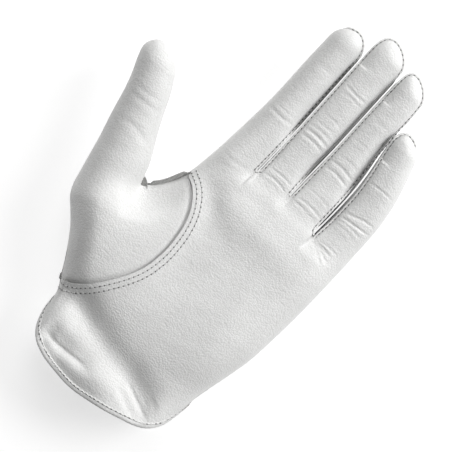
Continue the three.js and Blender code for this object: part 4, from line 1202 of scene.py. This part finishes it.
def rounded_ring(low, high, radius, inset):
    """Points round a rectangle with rounded corners, moved in by inset."""
    r = max(radius - inset, 0.3)
    x0, x1 = low[0] + inset + r, high[0] - inset - r
    y0, y1 = low[1] + inset + r, high[1] - inset - r
    ring = []
    for cx, cy, turn in ((x1, y0, -0.5), (x1, y1, 0.0), (x0, y1, 0.5), (x0, y0, 1.0)):
        for a in math.pi * (turn + np.linspace(0, 0.5, CORNER_STEPS + 1)):
            ring.append((cx + r * math.cos(a), cy + r * math.sin(a)))
    return even(np.array(ring + ring[:1]), np.linspace(0, 1, RING_POINTS, endpoint=False))


def node_box(name):
    """A node's corners, in the drawing."""
    return [np.array(corner) / MM + DRAWN_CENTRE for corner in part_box(name)]


def plate(name, node, body, slot, radius, thinner=0.0, groove=None):
    """A flat piece with rounded edges, and a sewn groove round it where one is given."""
    low, high = node_box(node)
    z0, z1 = low[2], high[2] - thinner
    levels = [(0.22, z0), (0.06, z0 + 0.1), (0, (z0 + z1) / 2), (0.06, z1 - 0.1), (0.22, z1)]
    if groove:
        levels = ([(groove + 0.6, z0), (groove, z0 + 0.12), (groove - 0.5, z0)] + levels
                  + [(groove - 0.5, z1), (groove, z1 - 0.12), (groove + 0.6, z1)])
    rings = [np.column_stack([rounded_ring(low, high, radius, inset), np.full(RING_POINTS, z)]) for inset, z in levels]
    bundle(name, slot, {"ride": body, "replaces": [node]}).add(*ring_solid(np.array(rings)))


def make_closure():
    plate("tab", "closure_tab", "closure_tab", "back_leather", TAB_RADIUS, groove=TAB_GROOVE)
    low, high = node_box("closure_tab")
    ring = rounded_ring(low, high, TAB_RADIUS, TAB_GROOVE)
    for z, up in ((low[2] + 0.1, -1.0), (high[2] - 0.1, 1.0)):
        path = np.column_stack([np.vstack([ring, ring[:1]]), np.full(RING_POINTS + 1, z)])
        upward = np.repeat([[0, 0, up]], len(path), axis=0)
        sew("tab_stitches", {"ride": "closure_tab"}, path, upward * 0, upward, 0, 0.1)
    plate("tab_lining_layer", "tab_lining", "closure_tab", "lining", STRIP_RADIUS)
    plate("hook_tape", "hook_pad", "closure_tab", "hook_tape", PAD_RADIUS, thinner=HOOK_BASE)
    make_hooks(*node_box("hook_pad"))
    plate("loop_tape", "loop_pad", "palm", "loop_fabric", PAD_RADIUS)
    plate("tab_anchor_strip", "tab_anchor", "palm", "back_leather", STRIP_RADIUS)


def make_hooks(low, high):
    """Rows of small bent bristles on the hook tape."""
    hooks = bundle("hooks", "hook_tape", {"ride": "closure_tab"})
    for row, y in enumerate(np.arange(low[1] + 1.6, high[1] - 1.4, HOOK_PITCH)):
        for x in np.arange(low[0] + 1.4 + 0.5 * (row % 2), high[0] - 1.6, HOOK_PITCH):
            foot = np.array([x, y, high[2] - HOOK_BASE])
            rings = [[foot + (px + dx, dy, pz) for dx, dy in HOOK_CORNERS] for px, pz in HOOK]
            hooks.add(*ring_solid(np.array(rings)))


# ---------- from sheets to objects ----------
NORMAL_CELL = 0.02       # points in one cell of this size share a normal
SHARP_ANGLE = math.radians(50)


def sheet_normals():
    """Normals of every sheet's points, as though the sheets were one skin."""
    total = np.vstack([s.points for s in SHEETS])
    _, index = np.unique(np.round(total / NORMAL_CELL).astype(np.int64), axis=0, return_inverse=True)
    index = index.ravel()
    sums = np.zeros((index.max() + 1, 3))
    base = 0
    for s in SHEETS:
        for face in s.faces:
            p = s.points[list(face)]
            normal = np.cross(p[2] - p[0], p[-1] - p[1])
            for i in face:
                sums[index[base + i]] += normal
        base += len(s.points)
    return unit(sums)[index]


def leather_solid(s, normals):
    """Outer and inner faces and the edge between them, with a normal for every corner of every face."""
    count = len(s.points)
    points = np.vstack([s.points, s.points - normals * LEATHER])
    faces = list(s.faces) + [tuple(i + count for i in f[::-1]) for f in s.faces]
    corners = [normals[i] for f in s.faces for i in f] + [-normals[i] for f in s.faces for i in f[::-1]]
    edges = dict.fromkeys((a, b) for f in s.faces for a, b in zip(f, f[1:] + f[:1]))
    for a, b in edges:
        if (b, a) not in edges:
            face = (b, a, a + count, b + count)
            p = points[list(face)]
            faces.append(face)
            corners += [unit(np.cross(p[2] - p[0], p[3] - p[1]))] * 4
    return points, faces, corners


def make_object(name, points, faces, facts, slot, corners=None, inside_from=None):
    mesh = bpy.data.meshes.new(name)
    mesh.from_pydata(place(points).tolist(), [], [list(f) for f in faces])
    mesh.validate()
    mesh.shade_smooth()
    if corners is not None:
        mesh.normals_split_custom_set([tuple(c) for c in corners])
    else:
        mesh.set_sharp_from_angle(angle=SHARP_ANGLE)
    obj = bpy.data.objects.new(name, mesh)
    bpy.context.scene.collection.objects.link(obj)
    mesh.materials.append(MATERIALS[slot])
    # inner faces and cut edges take the dark inside material, which carries painted shade
    if inside_from:
        mesh.materials.append(MATERIALS["inside"])
        mesh.polygons.foreach_set("material_index", [int(inside_from <= i) for i in range(len(mesh.polygons))])
    if "blend" in facts:
        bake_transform(obj)
    else:
        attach(obj, facts["ride"])
    if facts.get("replaces"):
        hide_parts(*facts["replaces"])


# ---------- materials ----------
# How close the marks of each texture are, in a metre.
PEBBLES, PORES, BLOTCHES, WRINKLES = 1150, 2600, 55, 420
HAIRS, CLUMPS, TWIST = 1900, 700, 1400


def link(tree, source, output, target, socket):
    tree.links.new(source.outputs[output], target.inputs[socket])


def texture(tree, kind, place_from, **values):
    """A texture at an object's own coordinates, or at stretched ones."""
    node = tree.nodes.new(f"ShaderNodeTex{kind}")
    for key, value in values.items():
        if hasattr(node, key):
            setattr(node, key, value)
        else:
            node.inputs[key.title()].default_value = value
    link(tree, place_from, "Object" if place_from.bl_idname == "ShaderNodeTexCoord" else "Vector", node, "Vector")
    return node


def ramp(tree, source, output, low, high, first, second):
    """A smooth change from one colour to another as a texture's value goes from low to high."""
    node = tree.nodes.new("ShaderNodeValToRGB")
    for element, position, colour in zip(node.color_ramp.elements, (low, high), (first, second)):
        element.position, element.color = position, (*colour, 1)
    link(tree, source, output, node, "Fac")
    return node


def hollow_shaded(tree, shader, source, low, high, darkest, colour):
    """The colour, down to a share of itself where a texture is low: painted shade in the hollows of the same texture's
    bumps.
    """
    tint = ramp(tree, source, "Fac", low, high, tuple(darkest * c for c in colour), colour)
    link(tree, tint, "Color", shader, "Base Color")


def mapped(tree, source, output, low, high):
    node = tree.nodes.new("ShaderNodeMapRange")
    node.inputs["To Min"].default_value = low
    node.inputs["To Max"].default_value = high
    link(tree, source, output, node, "Value")
    return node


def raised(tree, shader, *layers):
    """Bumps on the shader, each (texture, output, strength, distance) on top of the one before."""
    below = None
    for source, output, strength, distance in layers:
        node = tree.nodes.new("ShaderNodeBump")
        node.inputs["Strength"].default_value = strength
        node.inputs["Distance"].default_value = distance
        link(tree, source, output, node, "Height")
        if below:
            link(tree, below, "Normal", node, "Normal")
        below = node
    link(tree, below, "Normal", shader, "Normal")


def new_material(name, colour, roughness, sheen=0.0):
    material = bpy.data.materials.new(name)
    material.use_nodes = True
    tree = material.node_tree
    shader = tree.nodes["Principled BSDF"]
    shader.inputs["Base Color"].default_value = (*colour, 1)
    shader.inputs["Roughness"].default_value = roughness
    shader.inputs["Sheen Weight"].default_value = sheen
    return material, tree, shader, tree.nodes.new("ShaderNodeTexCoord")


def stretched(tree, place_from, turn, scale=(1, 1, 1)):
    """Texture coordinates that are turned and stretched, for marks that run one way."""
    node = tree.nodes.new("ShaderNodeMapping")
    node.inputs["Rotation"].default_value = (0, 0, math.radians(turn))
    node.inputs["Scale"].default_value = scale
    link(tree, place_from, "Object", node, "Vector")
    return node


def leather(name, colour, roughness, grain=1.0, wrinkles=1.0):
    material, tree, shader, place_from = new_material(name, colour, roughness, sheen=0.08)
    shader.inputs["Specular IOR Level"].default_value = 0.35
    pebbles = texture(tree, "Voronoi", place_from, scale=PEBBLES, feature="F1", randomness=0.9)
    pores = texture(tree, "Noise", place_from, scale=PORES, detail=3)
    slow = texture(tree, "Noise", place_from, scale=BLOTCHES, detail=4)
    lines = texture(tree, "Noise", stretched(tree, place_from, -8, (0.35, 1, 1)), scale=WRINKLES, detail=5)
    tint = ramp(tree, slow, "Fac", 0.3, 0.75, tuple(0.93 * c for c in colour), colour)
    # the colour is darker towards the grooves between the pebbles: painted shade in the grain's hollows
    groove_shade = ramp(tree, pebbles, "Distance", 0.2, 0.95, (1, 1, 1), (0.9, 0.9, 0.89))
    mix = tree.nodes.new("ShaderNodeMix")
    mix.data_type, mix.blend_type = "RGBA", "MULTIPLY"
    mix.inputs["Factor"].default_value = 0.8
    link(tree, tint, "Color", mix, 6)
    link(tree, groove_shade, "Color", mix, 7)
    link(tree, mix, 2, shader, "Base Color")
    rough = mapped(tree, pores, "Fac", roughness - 0.06, roughness + 0.08)
    link(tree, rough, "Result", shader, "Roughness")
    inverted = mapped(tree, pebbles, "Distance", 1, 0)
    raised(tree, shader, (inverted, "Result", 0.6 * grain, 0.00026), (pores, "Fac", 0.3 * grain, 0.00014),
           (lines, "Fac", 0.5 * wrinkles, 0.0003))
    return material


def woven(name, colour, pitch, depth, roughness=0.85, across=1.0):
    """Threads over and under each other."""
    material, tree, shader, place_from = new_material(name, colour, roughness, sheen=0.3)
    warp, weft = [texture(tree, "Wave", stretched(tree, place_from, 0), scale=scale, bands_direction=way, distortion=0.6)
                  for scale, way in ((pitch, "X"), (pitch * across, "Y"))]
    raised(tree, shader, (warp, "Fac", 0.6, depth), (weft, "Fac", 0.6, depth))
    hollow_shaded(tree, shader, warp, 0.1, 0.9, 0.78, colour)
    return material


def fuzzy(name, colour):
    """Short loops and hairs."""
    material, tree, shader, place_from = new_material(name, colour, 0.95, sheen=0.6)
    hairs = texture(tree, "Noise", place_from, scale=HAIRS, detail=6)
    clumps = texture(tree, "Voronoi", place_from, scale=CLUMPS)
    raised(tree, shader, (clumps, "Distance", 0.7, 0.0004), (hairs, "Fac", 0.9, 0.0003))
    hollow_shaded(tree, shader, hairs, 0.3, 0.7, 0.7, colour)
    return material


def thread(name, colour):
    material, tree, shader, place_from = new_material(name, colour, 0.6, sheen=0.2)
    twist = texture(tree, "Wave", stretched(tree, place_from, 35), scale=TWIST, distortion=1.0)
    raised(tree, shader, (twist, "Fac", 0.5, 0.0001))
    hollow_shaded(tree, shader, twist, 0.0, 0.8, 0.8, colour)
    return material


MATERIALS = {
    "palm_leather": leather("palm_leather", (0.78, 0.78, 0.775), 0.5),
    "back_leather": leather("back_leather", (0.78, 0.78, 0.775), 0.5, grain=0.8),
    # the side strips between the fingers are painted darker than the palm's leather: painted shade for the gaps
    # between the fingers
    "side_leather": leather("side_leather", (0.6, 0.6, 0.6), 0.6, grain=1.3),
    "cuff_binding": leather("cuff_binding", (0.76, 0.76, 0.755), 0.55, grain=0.7, wrinkles=0.6),
    "thread": thread("thread", (0.62, 0.62, 0.61)),
    # the suede inner side: somewhat darker leather, and painted darker still as shade for the inside of the glove seen
    # through the cuff
    "inside": fuzzy("inside", (0.34, 0.34, 0.33)),
    # near black: painted shade for the needle holes the thread goes down
    "hole": leather("hole", (0.13, 0.13, 0.13), 0.8),
    "elastic": woven("elastic", (0.8, 0.8, 0.79), 900, 0.0003, across=0.4),
    "lining": woven("lining", (0.7, 0.7, 0.7), 1500, 0.0002),
    "hook_tape": woven("hook_tape", (0.82, 0.82, 0.81), 1100, 0.0001, roughness=0.5),
    "loop_fabric": fuzzy("loop_fabric", (0.8, 0.8, 0.79)),
}


# ---------- the glove ----------
make_panel(True)
make_panel(False)
make_feet()
for name in NAMES:
    make_finger(name)
make_thumb_base()
make_thumb()
make_web_strip()
make_elastic()
make_seams()
make_cuff()
make_thumb_stitches()
make_closure()

all_normals = sheet_normals()
base = 0
for sheet in SHEETS:
    own = all_normals[base:base + len(sheet.points)]
    base += len(sheet.points)
    points, faces, corners = leather_solid(sheet, own)
    make_object(sheet.name, points, faces, sheet.facts, sheet.facts["slot"], corners, len(sheet.faces))
for (name, slot), (pieces, facts) in BUNDLES.items():
    make_object(name, np.vstack(pieces.points), pieces.faces, facts, slot)


# ---------- floor, light and camera ----------
FLOOR_BELOW = 0.0004
FLOOR_HALF = 3.0
FLOOR_COLOUR, FLOOR_GLOW = 0.5, 0.66
# Name, direction, distance, size and power.
LIGHTS = [("key", (0.62, 0.74, 0.6), 1.6, 1.0, 23), ("top", (-0.5, 0.9, 0.8), 1.6, 0.9, 8),
          ("fill", (-0.2, 0.33, 1.0), 2.0, 1.4, 9)]
SURROUNDING_LIGHT = 0.1
CAMERA_TURN = math.radians(42)     # the fingers point down and to the right in the picture
VIEW_CENTRE = (-4.75, 0.25, 20)    # on the palm, in the drawing
VIEW_WIDTH = 0.217                 # metres across the picture, at the palm
LENS = 180.0
SENSOR = 36.0
FAR_CLIP = 50


def make_floor():
    mesh = bpy.data.meshes.new("floor")
    corners = [(FLOOR_HALF * x, FLOOR_HALF * y, 0) for x, y in ((-1, -1), (1, -1), (1, 1), (-1, 1))]
    mesh.from_pydata(corners, [], [(0, 1, 2, 3)])
    floor = bpy.data.objects.new("floor", mesh)
    floor.location.z = -FLOOR_BELOW
    bpy.context.scene.collection.objects.link(floor)
    material, _, shader, _ = new_material("floor", (FLOOR_COLOUR,) * 3, 0.9)
    shader.inputs["Specular IOR Level"].default_value = 0.1
    shader.inputs["Emission Color"].default_value = (1, 1, 1, 1)
    shader.inputs["Emission Strength"].default_value = FLOOR_GLOW
    mesh.materials.append(material)


def make_camera():
    data = bpy.data.cameras.new("camera")
    data.lens, data.sensor_width, data.clip_end = LENS, SENSOR, FAR_CLIP
    camera = bpy.data.objects.new("camera", data)
    x, y, z = place([VIEW_CENTRE])[0]
    camera.location = (x, y, z + VIEW_WIDTH * LENS / SENSOR)
    camera.rotation_euler = (0, 0, CAMERA_TURN)
    bpy.context.scene.collection.objects.link(camera)
    bpy.context.scene.camera = camera


def make_world():
    world = bpy.data.worlds.new("world")
    world.use_nodes = True
    background = world.node_tree.nodes["Background"]
    background.inputs["Color"].default_value = (1, 1, 1, 1)
    background.inputs["Strength"].default_value = SURROUNDING_LIGHT
    bpy.context.scene.world = world


def make_light(name, direction, distance, size, power):
    light = bpy.data.lights.new(name, "AREA")
    light.shape, light.size, light.energy = "DISK", size, power
    obj = bpy.data.objects.new(name, light)
    way = Vector(direction).normalized()
    obj.location = way * distance
    obj.rotation_euler = way.to_track_quat("Z", "Y").to_euler()
    bpy.context.scene.collection.objects.link(obj)


make_floor()
make_camera()
make_world()
for light in LIGHTS:
    make_light(*light)
bpy.context.scene.view_settings.view_transform = "Standard"
